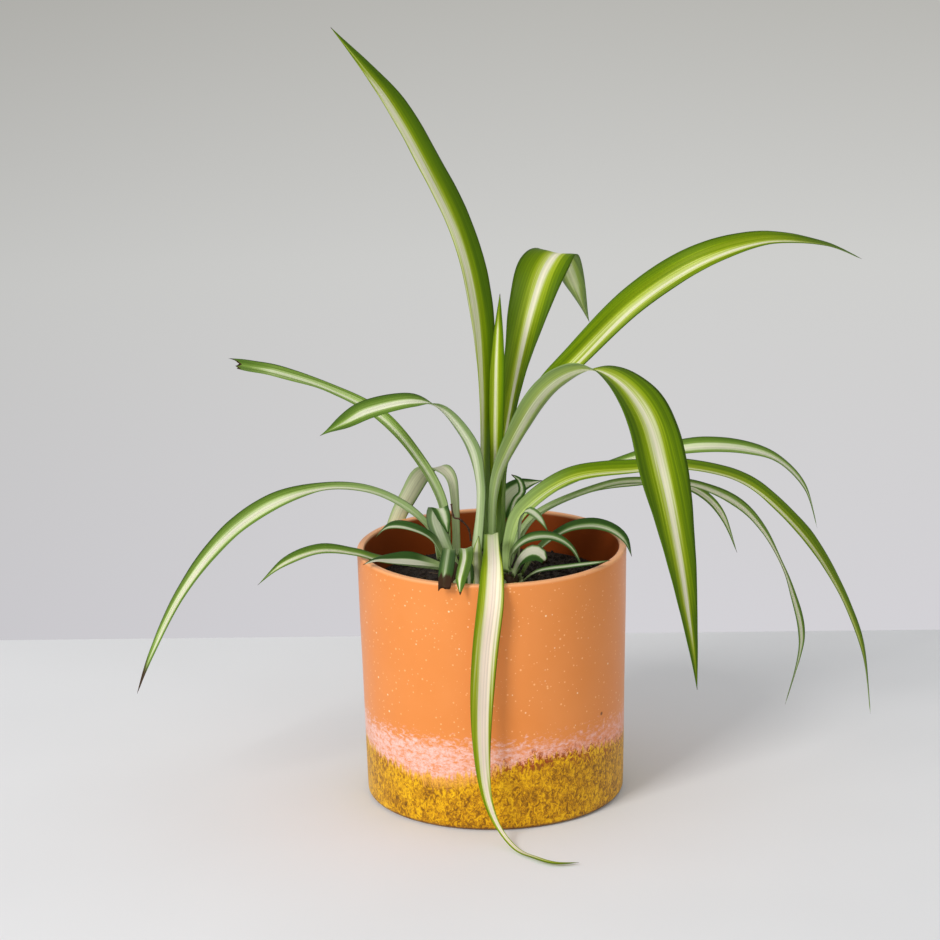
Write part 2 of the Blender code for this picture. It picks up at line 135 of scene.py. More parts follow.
# Leaf blades. path, width, turn and fold follow the frame's own blades. stripe is where the pale
# band lies across the blade (-1 to 1) and its half width, blend how far lime reaches
# into the green below and above it, dry the length of the brown tip, pale how bleached
# the band is, tear how ragged the end is, ripple how wavy the margins are, skin its
# finish where it isn't the usual one.
blades = {
    "leaf_tall": {
        "path": [(-5, -8, 122), (-2, -4, 165), (-1, -3, 205), (-3, -3, 242),
                 (-10, -4, 275), (-23, -6, 306), (-43, -9, 343), (-70, -12, 377)],
        "width": [8, 8.5, 11, 14.5, 15.5, 15.5, 12.5, 0.3],
        "turn": [-50, -48, -52, -58, -50, -46, -44, -30],
        "fold": (25, 10), "stripe": (0.52, 0.22), "blend": (0.5, 0.7), "pale": 0.0,
    },
    "leaf_spear": {
        "path": [(2, -6, 122), (3, -5, 170), (4, -5, 205), (5, -4.5, 229), (6, -4, 248)],
        "width": [5, 7, 8.5, 5.5, 0.3],
        "turn": [45, 45, 40, 35, 30],
        "fold": (25, 20), "stripe": (0.3, 0.06), "blend": (0.5, 0.6), "pale": 0.0,
    },
    "leaf_folded_back": {
        "path": [(1, 0, 122), (3, 2, 150), (7, 5, 180), (13, 9, 210), (20, 16, 237),
                 (27, 25, 255), (35, 37, 259), (43, 51, 238), (50, 66, 217)],
        "width": [8, 9, 12, 16, 22, 26, 22, 12, 0.3],
        "turn": [-20, -15, -15, -5, 12, 12, 0, 0, 20],
        "fold": (25, 2), "stripe": (-0.1, 0.11), "blend": (0.38, 0.5),
    },
    "leaf_long_right": {
        "path": [(5, 3, 122), (5, 4, 150), (7, 5, 166), (15, 6, 183), (26, 6, 199),
                 (40, 6, 213), (69, 8, 241), (100, 8, 261), (131, 8, 270),
                 (160, 8, 267), (178, 8, 259)],
        "width": [7, 7.5, 8, 9, 10.5, 12.5, 14.5, 15, 13, 8, 0.3],
        "turn": [38, 38, 38, 42, 52, 65, 70, 48, 22, 5, 0],
        "fold": (25, 12), "stripe": (-0.48, 0.05), "blend": (0.28, 0.85),
    },
    "leaf_front_right": {
        "path": [(0, -11.5, 118), (1, -11.5, 150), (7, -14, 172), (25, -30, 207), (44, -46, 223),
                 (60, -56, 220), (73, -66, 204), (80, -74, 178), (87, -80, 140), (92, -84, 100),
                 (94, -85, 77)],
        "width": [5.5, 7, 10.5, 17, 20, 23, 26, 25.5, 18, 7, 0.3],
        "turn": [-5, -8, -18, -22, -18, 0, 18, 26, 15, 10, 0],
        "fold": (25, 8), "stripe": (0.0, 0.12), "blend": (0.42, 0.42),
    },
    "leaf_right_arch": {
        "path": [(6.5, -17, 114), (8, -16, 130), (15, -13, 145), (38, -9, 160), (68, -10, 164),
                 (95, -12, 165), (123, -15, 157), (147, -18, 135), (164, -20, 109),
                 (177, -22, 76), (181, -24, 42)],
        "width": [7, 8, 9, 12, 14, 15, 15, 14, 12, 7.5, 0.3],
        "turn": [30, 45, 55, 30, 15, 5, 10, 18, 15, 15, 0],
        "fold": (25, 10), "stripe": (-0.35, 0.08), "blend": (0.4, 0.7),
    },
    "leaf_right_back": {
        "path": [(7, 3, 119), (16, 6, 138), (30, 9, 148), (55, 12, 158), (77, 14, 164),
                 (101, 16, 167), (123, 18, 165), (140, 20, 158), (153, 22, 143),
                 (159, 23, 122)],
        "width": [6, 7, 8, 9, 11, 12.5, 12, 9, 5, 0.3],
        "turn": [10, 10, 10, 10, 15, 25, 20, 18, 25, 10],
        "fold": (25, 10), "skin": "shadeBlade", "stripe": (-0.1, 0.3), "blend": (0.5, 0.5),
    },
    "leaf_right_low": {
        "path": [(7, -4, 114), (14, -2, 131), (27, 3, 141), (58, 4, 152), (81, 3, 153),
                 (100, 2, 151), (119, 0, 142), (131, -2, 129), (140, -4, 112),
                 (145, -5, 97), (149, -6, 80), (148, -7, 66), (141, -9, 42)],
        "width": [5, 6, 6, 6.5, 8, 10, 11, 9, 7, 7, 7, 5, 0.3],
        "turn": [17, 17, 17, 18, 8, 8, 16, 14, 6, 23, 31, 26, 10],
        "fold": (25, 10), "skin": "shadeBlade", "stripe": (0.0, 0.36), "blend": (0.4, 0.4),
    },
    "leaf_right_short": {
        "path": [(8, 0, 112), (20, 9, 133), (45, 14, 145), (70, 14, 149), (86, 12, 150),
                 (97, 11, 147), (106, 10, 141), (113, 10, 131), (119, 10, 114)],
        "width": [5, 5, 5.5, 6, 7, 8, 8, 6, 0.3],
        "turn": [15, 15, 15, 15, 15, 18, 25, 30, 20],
        "fold": (25, 10), "skin": "shadeBlade", "stripe": (0.0, 0.36), "blend": (0.4, 0.4),
    },
    "leaf_front_hanging": {
        "path": [(0, -16, 106), (0, -17, 125), (0, -25, 136.5), (0, -42, 134), (0, -62, 129.5),
                 (-1, -71, 116), (-4, -73, 92), (-6, -75, 65), (-6, -76, 40), (-4, -77, 22),
                 (1, -78, 8), (9, -89, 1.4), (18, -100, 1.2), (27, -107, 1.2), (38, -107, 1.2)],
        "width": [7, 7, 7, 8, 11, 13, 13, 11, 8, 5, 3, 3, 3, 2.9, 0.3],
        "turn": [0, 0, 0, 5, 8, 12, 6, 10, 0, 0, 0, 0, 0, 0, 0],
        "fold": (20, 5), "stripe": (0.14, 0.46), "blend": (0.6, 0.6), "pale": 0.6,
    },
    "leaf_left_arch": {
        "path": [(-8, -14, 106), (-7, -14, 126), (-5, -13, 145), (-5, -12, 160),
                 (-9, -13, 178), (-22, -16, 196), (-36, -19, 201), (-56, -22, 198),
                 (-69, -24, 192), (-80, -26, 186)],
        "width": [9, 10, 10, 10.5, 12, 10, 12, 13.5, 10, 0.3],
        "turn": [22, 22, 15, 20, 30, 25, -20, -28, -25, 0],
        "fold": (25, 10), "skin": "shadeBlade", "stripe": (0.05, 0.26), "blend": (0.4, 0.4), "pale": 0.0,
    },
    "leaf_left_torn": {
        "path": [(-21, -11, 122), (-23, -2, 145), (-34, 4, 166), (-52, 7, 187), (-76, 10, 200),
                 (-100, 12, 208), (-115, 13, 211), (-125, 13, 213)],
        "width": [6, 7, 7, 8.5, 9.5, 12, 11, 7],
        "turn": [-20, -28, -30, -26, -10, -12, -15, -15],
        "fold": (25, 10), "skin": "shadeBlade", "stripe": (0.1, 0.2), "blend": (0.9, 0.9), "pale": 0.0,
        "tear": 9, "dry": 1.5,
    },
    "leaf_left_long": {
        "path": [(-25, -14, 120), (-28, -9, 133), (-40, -10, 146), (-58, -13, 156),
                 (-80, -18, 159), (-105, -21, 152), (-128, -25, 136),
                 (-148, -28, 111), (-163, -30, 82), (-171, -30, 61)],
        "width": [6, 7, 8, 10, 12, 14, 14, 12.5, 7.5, 0.4],
        "turn": [-25, -20, -20, -8, -5, -22, -22, -15, -15, -15],
        "fold": (25, 10), "skin": "shadeBlade", "stripe": (0.05, 0.28), "blend": (0.5, 0.5), "dry": 15,
    },
    "leaf_left_short": {
        "path": [(-23, -21, 119), (-38, -20, 121), (-53, -19, 123), (-65, -20, 127),
                 (-82, -21, 129), (-99, -22, 123), (-112, -23, 112)],
        "width": [5.5, 7, 8, 9, 9.5, 6.5, 0.3],
        "turn": [-30, -20, -10, -9, -16, -26, 0],
        "fold": (25, 10), "skin": "shadeBlade", "stripe": (0.25, 0.25), "blend": (0.4, 0.4),
    },
    "leaf_back_left": {
        "path": [(-17, -10, 121), (-17, -3, 133), (-18, 6, 152), (-23, 14, 158),
                 (-29, 21, 157), (-34, 28, 151), (-40, 39, 138), (-46, 50, 124),
                 (-51, 58, 109), (-55, 64, 92)],
        "width": [6, 7, 9, 10, 10, 10, 9, 8, 6, 0.3],
        "turn": [18, 30, 31, 0, 10, 31, 50, 40, 37, 30],
        # its whiter skin and bleached band are partly painted light, lifting a leaf whose underside lies in
        # shade
        "fold": (20, 8), "skin": "bleachedBaseAndPaintedLight", "stripe": (0.0, 0.68), "blend": (0.25, 0.25),
        "pale": 0.5,
    },
    "left_curled": {
        "path": [(-20, -17, 123), (-24, -16.5, 133), (-26.5, -16.5, 141), (-26, -18, 147),
                 (-24, -21, 148), (-22, -23, 143), (-20.5, -23.5, 136)],
        "width": [5, 8, 9, 8.5, 8, 6, 0.3],
        "turn": [0, 0, 0, 0, 0, 0, 0], "lean": -90,
        "fold": (20, 10), "stripe": (0.0, 0.3), "blend": (0.3, 0.3),
    },
    "left_small_arch": {
        "path": [(-22, -21, 122), (-28, -22, 134), (-39, -19, 139), (-49, -14, 138),
                 (-56, -12, 131)],
        "width": [5, 7, 8, 6, 0.3],
        "turn": [0, -5, -12, -18, 0],
        "fold": (20, 10), "stripe": (0.45, 0.3), "blend": (0.2, 0.2),
    },
    "left_lying": {
        "path": [(-23, -25, 121), (-37, -28, 125.5), (-48, -30.5, 126.5), (-55, -32, 126.5),
                 (-61, -34.5, 124.8)],
        "width": [5, 9, 8, 5, 0.3],
        "turn": [-15, -30, -20, -5, 0],
        "fold": (20, 5), "stripe": (0.5, 0.5), "blend": (0.12, 0.12), "pale": 0.4,
    },
    "left_withered": {
        "path": [(-20, -22, 125), (-20, -29, 130.5), (-20.5, -43, 130.5), (-21.5, -59, 128),
                 (-22.5, -68, 121.5)],
        "width": [5, 6, 7, 7, 5.5],
        "turn": [0, -8, -12, -8, 0],
        "fold": (15, 5), "stripe": (-0.2, 0.12), "blend": (0.35, 0.35), "dry": 9, "tear": 3,
    },
    "left_over_rim": {
        "path": [(-14.5, -22, 125), (-12.5, -29, 131), (-12, -43, 130.5), (-13.5, -58, 128),
                 (-14.5, -65.5, 126), (-15, -69, 120)],
        "width": [5, 6.5, 7, 6.5, 5, 0.3],
        "turn": [0, 8, 12, 8, 0, 0],
        "fold": (20, 5), "skin": "shadeBlade", "stripe": (-0.3, 0.2), "blend": (0.2, 0.2),
        "pale": 0.15,
    },
    "left_inner": {
        "path": [(-14, -20, 116), (-12, -27, 122), (-11, -40, 119), (-11, -47, 114)],
        "width": [4, 5.5, 5, 0.3],
        "turn": [0, 0, 0, 0],
        "fold": (20, 5), "stripe": (0.0, 0.25), "blend": (0.3, 0.3),
    },
    "front_upright": {
        "path": [(-7, -23, 106), (-7, -23, 117), (-7, -22, 126), (-6, -21, 134)],
        "width": [5, 6, 5, 0.3],
        "turn": [0, 0, 0, 0], "lean": -90,
        "fold": (25, 15), "skin": "variegatedBlade", "stripe": (-0.3, 0.1), "blend": (0.4, 0.9),
        "dry": 0.4,
    },
    "right_dark_back": {
        "path": [(3, 8, 106), (2.5, 9, 128), (6, 10, 142), (14, 12, 149), (25, 14, 151)],
        "width": [5, 8, 11, 9, 0.3],
        "turn": [30, 38, 45, 40, 20],
        "fold": (20, 10), "stripe": (-0.1, 0.45), "blend": (0.25, 0.25), "pale": 0.3,
    },
    "right_hooked": {
        "path": [(6, -3, 122), (11, -3, 144), (15, -3, 150), (14, -3, 156), (10, -3, 159)],
        "width": [3.5, 4, 4, 3, 0.3],
        "turn": [-80, -80, -80, -80, -80], "lean": 180,
        "fold": (20, 10), "stripe": (0.1, 0.3), "blend": (0.25, 0.25), "pale": 0.3,
    },
    "right_bright_arch": {
        "path": [(12.5, -18.6, 115), (12.9, -19, 132), (13.9, -20, 142), (17, -21, 146.5),
                 (22, -23, 144), (27, -28, 137.5)],
        "width": [4, 4.5, 6, 6, 5, 0.3],
        "turn": [15, 15, 15, 15, 15, 0],
        "fold": (20, 10), "stripe": (0.0, 0.4), "blend": (0.6, 0.6),
    },
    "right_front_arch": {
        "path": [(8, -22.2, 117), (9.5, -24.4, 127), (17.5, -25.4, 134), (29, -27, 135),
                 (38, -30, 130), (43, -36, 121)],
        "width": [5, 6.5, 8, 7, 4, 0.3],
        "turn": [30, 30, 28, 16, 10, 0],
        "fold": (20, 10), "stripe": (0.0, 0.22), "blend": (0.35, 0.35),
    },
    "right_over_rim": {
        "path": [(14, -12, 112), (22, -11, 124), (35, -8, 133), (47, -6, 135),
                 (57, -7, 133), (64, -10, 128), (67, -13, 120)],
        "width": [5, 6, 8, 8.5, 7.5, 5.5, 0.3],
        "turn": [16, 16, 18, 25, 29, 30, 20],
        "fold": (20, 10), "stripe": (-0.35, 0.25), "blend": (0.3, 0.3),
    },
    "right_crumpled": {
        "path": [(9.5, -26.8, 115), (13, -28.3, 123.5), (18, -30.2, 128), (22.5, -31, 127.5),
                 (25.5, -32, 123.5)],
        "width": [5, 8, 9.5, 8.5, 3],
        "turn": [30, 38, 42, 40, 30],
        "fold": (20, 15), "stripe": (0.3, 0.4), "blend": (0.2, 0.2), "pale": 0.4,
        "ripple": 0.35,
    },
    "right_along_rim": {
        "path": [(14, -24, 112), (22, -36, 121), (37, -39, 124), (50, -41, 126),
                 (56, -41, 127)],
        "width": [3.5, 4.5, 5, 3, 0.3],
        "turn": [12, 12, 12, 12, 0],
        "fold": (20, 10), "stripe": (0.0, 0.3), "blend": (0.5, 0.5),
    },
}
bladeBuild = {
    "thickness": 0.45,      # a living blade
    "stationStep": 2.0,     # between rows along a blade
    "across": 15,           # vertices from margin to margin
    "crease": 0.22,         # how softly the midrib is creased
    "ripple": 0.05,         # waviness of the margins, as a share of the half width
    "rippleLength": 26,     # from wave to wave
    "pale": 0.2,
    "dry": 1.2,
    "narrowest": 0.7,       # thickness of the narrowest parts, as a share of their half width
    "join": 0.002,          # joins the two faces at the margins
    "jagScale": 2.6,        # strips across a torn end
    "fewestRows": 8,
}


def makeBladeTree():
    tree, given = newTree("bladeAlongPath", {
        "Stations": "NodeSocketInt", "Across": "NodeSocketInt", "Thickness": "NodeSocketFloat",
        "Level Side": "NodeSocketVector", "Fold Base": "NodeSocketFloat", "Fold Tip": "NodeSocketFloat",
        "Crease": "NodeSocketFloat", "Ripple": "NodeSocketFloat", "Ripple Length": "NodeSocketFloat",
        "Tear": "NodeSocketFloat", "Seed": "NodeSocketFloat", "Stripe": "NodeSocketVector",
        "Trim": "NodeSocketVector", "Material": "NodeSocketMaterial",
    })
    line = addNode(tree, "GeometryNodeMeshToCurve", {0: given["Geometry"]})
    curve = addNode(tree, "GeometryNodeCurveSplineType", {"Curve": line}, spline_type="CATMULL_ROM")
    length = addNode(tree, "GeometryNodeCurveLength", {0: curve})
    grid = addNode(tree, "GeometryNodeMeshGrid", {
        "Size X": 1.0, "Size Y": 2.0, "Vertices X": given["Stations"], "Vertices Y": given["Across"]})
    spot = addNode(tree, "ShaderNodeSeparateXYZ", {0: addNode(tree, "GeometryNodeInputPosition")})
    share = addNode(tree, "ShaderNodeMath", {0: spot.outputs["X"], 1: 0.5}, operation="ADD")
    across = spot.outputs["Y"]

    # a ragged end: some strips across the blade stop short of the tip
    jagAt = addNode(tree, "ShaderNodeCombineXYZ", {"X": across, "Y": given["Seed"]})
    jag = addNode(tree, "ShaderNodeTexNoise", {"Vector": jagAt, "Scale": bladeBuild["jagScale"],
                                               "Detail": 2.0})
    spike = addNode(tree, "ShaderNodeMapRange", {"Value": across, 1: -1.0, 2: -0.55, 3: 0.0, 4: 1.0})
    ragged = addNode(tree, "ShaderNodeMath", {0: spike, 1: jag}, operation="MULTIPLY")
    tornShare = addNode(tree, "ShaderNodeMath", {0: given["Tear"], 1: length}, operation="DIVIDE")
    lost = addNode(tree, "ShaderNodeMath", {0: ragged, 1: tornShare}, operation="MULTIPLY")
    kept = addNode(tree, "ShaderNodeMath", {0: 1.0, 1: lost}, operation="SUBTRACT")
    factor = addNode(tree, "ShaderNodeMath", {0: share, 1: kept}, operation="MULTIPLY")

    # centre line, side and upper directions at that place
    shape = addNode(tree, "GeometryNodeInputNamedAttribute", {"Name": "shape"}, data_type="FLOAT_VECTOR")
    sample = addNode(tree, "GeometryNodeSampleCurve", {"Curves": curve, "Value": shape, "Factor": factor},
                     data_type="FLOAT_VECTOR", mode="FACTOR", use_all_curves=True)
    value = addNode(tree, "ShaderNodeSeparateXYZ", {0: sample.outputs["Value"]})
    tangent = sample.outputs["Tangent"]
    level = given["Level Side"]
    tilt = addNode(tree, "ShaderNodeVectorMath", {0: level, 1: tangent}, operation="DOT_PRODUCT")
    drop = addNode(tree, "ShaderNodeVectorMath", {0: tangent, "Scale": tilt.outputs["Value"]},
                   operation="SCALE")
    flat = addNode(tree, "ShaderNodeVectorMath", {0: level, 1: drop}, operation="SUBTRACT")
    even = addNode(tree, "ShaderNodeVectorMath", {0: flat}, operation="NORMALIZE")
    side = addNode(tree, "ShaderNodeVectorRotate", {
        "Vector": even, "Axis": tangent, "Angle": value.outputs["Y"]})
    upper = addNode(tree, "ShaderNodeVectorMath", {0: tangent, 1: side}, operation="CROSS_PRODUCT")

    # the cross-section: a soft V, deepest at the foot, with wavy margins
    halfWidth = addNode(tree, "ShaderNodeMath", {0: value.outputs["X"], 1: 0.5}, operation="MULTIPLY")
    fold = addNode(tree, "ShaderNodeMapRange", {
        "Value": factor, 3: given["Fold Base"], 4: given["Fold Tip"]})
    slope = addNode(tree, "ShaderNodeMath", {0: fold}, operation="SINE")
    spread = addNode(tree, "ShaderNodeMath", {0: fold}, operation="COSINE")
    square = addNode(tree, "ShaderNodeMath", {0: across, 1: across}, operation="MULTIPLY")
    crease = addNode(tree, "ShaderNodeMath", {0: given["Crease"], 1: given["Crease"]}, operation="MULTIPLY")
    reach = addNode(tree, "ShaderNodeMath", {0: square, 1: crease}, operation="ADD")
    arm = addNode(tree, "ShaderNodeMath", {0: reach}, operation="SQRT")
    full = addNode(tree, "ShaderNodeMath", {0: crease, 1: 1.0}, operation="ADD")
    edge = addNode(tree, "ShaderNodeMath", {0: full}, operation="SQRT")
    valley = addNode(tree, "ShaderNodeMath", {0: arm, 1: edge}, operation="SUBTRACT")
    channel = addNode(tree, "ShaderNodeMath", {0: valley, 1: slope}, operation="MULTIPLY")
    metres = addNode(tree, "ShaderNodeMath", {0: factor, 1: length}, operation="MULTIPLY")
    waves = addNode(tree, "ShaderNodeMath", {0: metres, 1: given["Ripple Length"]}, operation="DIVIDE")
    waveAt = addNode(tree, "ShaderNodeCombineXYZ", {"X": waves, "Y": across, "Z": given["Seed"]})
    wave = addNode(tree, "ShaderNodeTexNoise", {"Vector": waveAt, "Scale": 1.0, "Detail": 1.0})
    swing = addNode(tree, "ShaderNodeMapRange", {"Value": wave, 1: 0.25, 2: 0.75, 3: -1.0, 4: 1.0})
    margin = addNode(tree, "ShaderNodeMath", {0: swing, 1: square}, operation="MULTIPLY")
    ripple = addNode(tree, "ShaderNodeMath", {0: margin, 1: given["Ripple"]}, operation="MULTIPLY")
    rise = addNode(tree, "ShaderNodeMath", {0: channel, 1: ripple}, operation="ADD")
    lift = addNode(tree, "ShaderNodeMath", {0: rise, 1: halfWidth}, operation="MULTIPLY")
    out = addNode(tree, "ShaderNodeMath", {0: across, 1: spread}, operation="MULTIPLY")
    sideways = addNode(tree, "ShaderNodeMath", {0: out, 1: halfWidth}, operation="MULTIPLY")

    # thickness, nothing at the margins and at both ends so that the two faces close
    quartic = addNode(tree, "ShaderNodeMath", {0: square, 1: square}, operation="MULTIPLY")
    belly = addNode(tree, "ShaderNodeMath", {0: 1.0, 1: quartic}, operation="SUBTRACT")
    rest = addNode(tree, "ShaderNodeMath", {0: 1.0, 1: share}, operation="SUBTRACT")
    nearest = addNode(tree, "ShaderNodeMath", {0: share, 1: rest}, operation="MINIMUM")
    rows = addNode(tree, "ShaderNodeMath", {0: nearest, 1: given["Stations"]}, operation="MULTIPLY")
    ends = addNode(tree, "ShaderNodeMath", {0: rows, 1: 0.6}, operation="MULTIPLY", use_clamp=True)
    narrow = addNode(tree, "ShaderNodeMath", {0: halfWidth, 1: bladeBuild["narrowest"]},
                     operation="MULTIPLY")
    thin = addNode(tree, "ShaderNodeMath", {0: given["Thickness"], 1: narrow}, operation="MINIMUM")
    body = addNode(tree, "ShaderNodeMath", {0: thin, 1: belly}, operation="MULTIPLY")
    thick = addNode(tree, "ShaderNodeMath", {0: body, 1: ends}, operation="MULTIPLY")

    # what the leaf finish reads
    widthways = addNode(tree, "ShaderNodeMath", {0: across, 1: halfWidth}, operation="MULTIPLY")
    grain = addNode(tree, "ShaderNodeCombineXYZ", {"X": widthways, "Y": metres, "Z": given["Seed"]})
    trim = addNode(tree, "ShaderNodeSeparateXYZ", {0: given["Trim"]})
    left = addNode(tree, "ShaderNodeMath", {0: 1.0, 1: share}, operation="SUBTRACT")
    leftMetres = addNode(tree, "ShaderNodeMath", {0: left, 1: length}, operation="MULTIPLY")
    dryness = addNode(tree, "ShaderNodeMath", {0: leftMetres, 1: trim.outputs["Y"]}, operation="DIVIDE")
    finish = addNode(tree, "ShaderNodeCombineXYZ", {
        "X": trim.outputs["X"], "Y": dryness, "Z": trim.outputs["Z"]})
    sheet = grid
    for label, kind, field in (("across", "FLOAT", across), ("grain", "FLOAT_VECTOR", grain),
                               ("stripe", "FLOAT_VECTOR", given["Stripe"]),
                               ("finish", "FLOAT_VECTOR", finish), ("share", "FLOAT", factor)):
        sheet = addNode(tree, "GeometryNodeStoreNamedAttribute", {
            "Geometry": sheet, "Name": label, "Value": field}, data_type=kind, domain="POINT")

    faces = []
    for sign in (0.5, -0.5):
        offset = addNode(tree, "ShaderNodeMath", {0: thick, 1: sign}, operation="MULTIPLY")
        height = addNode(tree, "ShaderNodeMath", {0: lift, 1: offset}, operation="ADD")
        alongSide = addNode(tree, "ShaderNodeVectorMath", {0: side, "Scale": sideways}, operation="SCALE")
        alongUpper = addNode(tree, "ShaderNodeVectorMath", {0: upper, "Scale": height}, operation="SCALE")
        apart = addNode(tree, "ShaderNodeVectorMath", {0: alongSide, 1: alongUpper}, operation="ADD")
        where = addNode(tree, "ShaderNodeVectorMath", {0: sample.outputs["Position"], 1: apart},
                        operation="ADD")
        face = addNode(tree, "GeometryNodeSetPosition", {"Geometry": sheet, "Position": where})
        face = addNode(tree, "GeometryNodeStoreNamedAttribute", {
            "Geometry": face, "Name": "upperFace", "Value": sign + 0.5}, data_type="FLOAT", domain="FACE")
        if sign < 0:
            face = addNode(tree, "GeometryNodeFlipFaces", {0: face})
        faces.append(face)
    both = addNode(tree, "GeometryNodeJoinGeometry", {0: faces[0]})
    tree.links.new(faces[1].outputs[0], both.inputs[0])
    closed = addNode(tree, "GeometryNodeMergeByDistance", {
        "Geometry": both, "Distance": bladeBuild["join"] * mm})
    smooth = addNode(tree, "GeometryNodeSetShadeSmooth", {"Geometry": closed})
    closeTree(tree, smooth, given["Material"])
    return tree


def makeBlade(name, blade, tree, material, seed):
    points = [Vector(p) * mm for p in blade["path"]]
    mesh = bpy.data.meshes.new(name)
    mesh.from_pydata(points, [(i, i + 1) for i in range(len(points) - 1)], [])
    stripe, blend = blade["stripe"], blade["blend"]
    shape = mesh.attributes.new("shape", "FLOAT_VECTOR", "POINT")
    for entry, width, turn in zip(shape.data, blade["width"], blade["turn"]):
        entry.vector = (width * mm, math.radians(turn), 0)
    reach = points[-1] - points[0]
    lean = math.radians(blade["lean"]) if "lean" in blade else math.atan2(reach.y, reach.x)
    length = sum((b - a).length for a, b in zip(points, points[1:]))
    settings = {**bladeBuild, **blade}
    return grow(addObject(name, mesh), tree, {
        "Stations": max(bladeBuild["fewestRows"], round(length / (bladeBuild["stationStep"] * mm))),
        "Across": bladeBuild["across"],
        "Thickness": bladeBuild["thickness"] * mm,
        "Level Side": (-math.sin(lean), math.cos(lean), 0.0),
        "Fold Base": math.radians(blade["fold"][0]),
        "Fold Tip": math.radians(blade["fold"][1]),
        "Crease": bladeBuild["crease"],
        "Ripple": settings["ripple"],
        "Ripple Length": bladeBuild["rippleLength"] * mm,
        "Tear": float(settings.get("tear", 0)) * mm,
        "Seed": float(seed),
        "Stripe": (*stripe, blend[0]),
        "Trim": (blend[1], settings["dry"] * mm, settings["pale"]),
        "Material": material,
    })


# Living leaf blade, thin, waxy and lengthwise veined. That gives the eye a satin shine
# broken by fine streaks, and a glow where light comes through from behind.
bladeFinishes = {
    "variegatedBlade": {
        "bands": [(0.0, "#F4F0DC"), (0.19, "#EBEDC8"), (0.28, "#CDD880"), (0.38, "#AABC2C"),
                  (0.54, "#86A008"), (0.75, "#698806"), (1.0, "#527308")],
        "margin": "#6C8F24", "base": "#C6E098", "foot": 0.25, "under": "#D6EEB4",
    },
    "shadeBlade": {
        "bands": [(0.0, "#EDEFD8"), (0.19, "#DCE6BE"), (0.28, "#B5CB84"), (0.4, "#8CAA4E"),
                  (0.58, "#76973A"), (0.78, "#64862C"), (1.0, "#587A2A")],
        "margin": "#5E8034", "base": "#C8DEA4", "foot": 0.4, "under": "#CFE3BC",
    },
    "youngOffsetBlade": {
        "bands": [(0.0, "#D4DEC2"), (0.19, "#BACBA2"), (0.28, "#94AC76"), (0.42, "#6A8C4A"),
                  (0.65, "#4C7034"), (1.0, "#3D6029")],
        "margin": "#44663A", "base": "#B9D08E", "foot": 0.36, "under": "#B8CDA6",
    },
    # the crowns' bleached feet; on the back-left leaf it is partly painted light
    "bleachedBaseAndPaintedLight": {
        "bands": [(0.0, "#DDE8BE"), (0.3, "#CBDDA4"), (0.6, "#B4CC8A"), (1.0, "#A2BC74")],
        "margin": "#8FAA62", "base": "#D6E2B4", "foot": 0.4, "under": "#C3D6A2",
    },
}
bladeGrain = {
    "streakCell": (1.5, 80),    # from streak to streak, across and along the blade
    "veinCell": (0.7, 250),     # fine ridges along the blade, drawn coarser than they are to show
    "toneCell": (16.6667, 55.5556),     # slow changes of tone
    "seedStep": (7.3, 1.7, 3.1),        # moves streaks, veins and tones from blade to blade
    "streakDepth": 0.3,     # how far streaks and veins push the band's edges
    "veinDepth": 0.11,
    "veinTone": 0.12,       # how much veins lighten and darken the blade
    "slowTone": (0.9, 1.12),
    "bandSpan": (-0.45, 1.9),       # from the middle of the band to the full green
    "marginLine": (0.92, 0.98),     # the darker line, as shares of the half width
    "marginStrength": 0.6,
    "bleach": "#FAEDE4",
    "driedTip": "#4A2E22",
    "greenTip": 0.14,       # the band dies out over this share at the tip
    "through": 0.34,        # share of light that passes each face
    "glowBelow": 0.35,      # how much wider the band looks on the underside
    "paleBelow": 0.3,       # how pale the underside is
    "rough": (0.36, 0.5),
    "ridge": 0.06,          # height of the veins
    "ridgeStrength": 0.12,
    "specular": 0.15,
    "ior": 1.45,
}


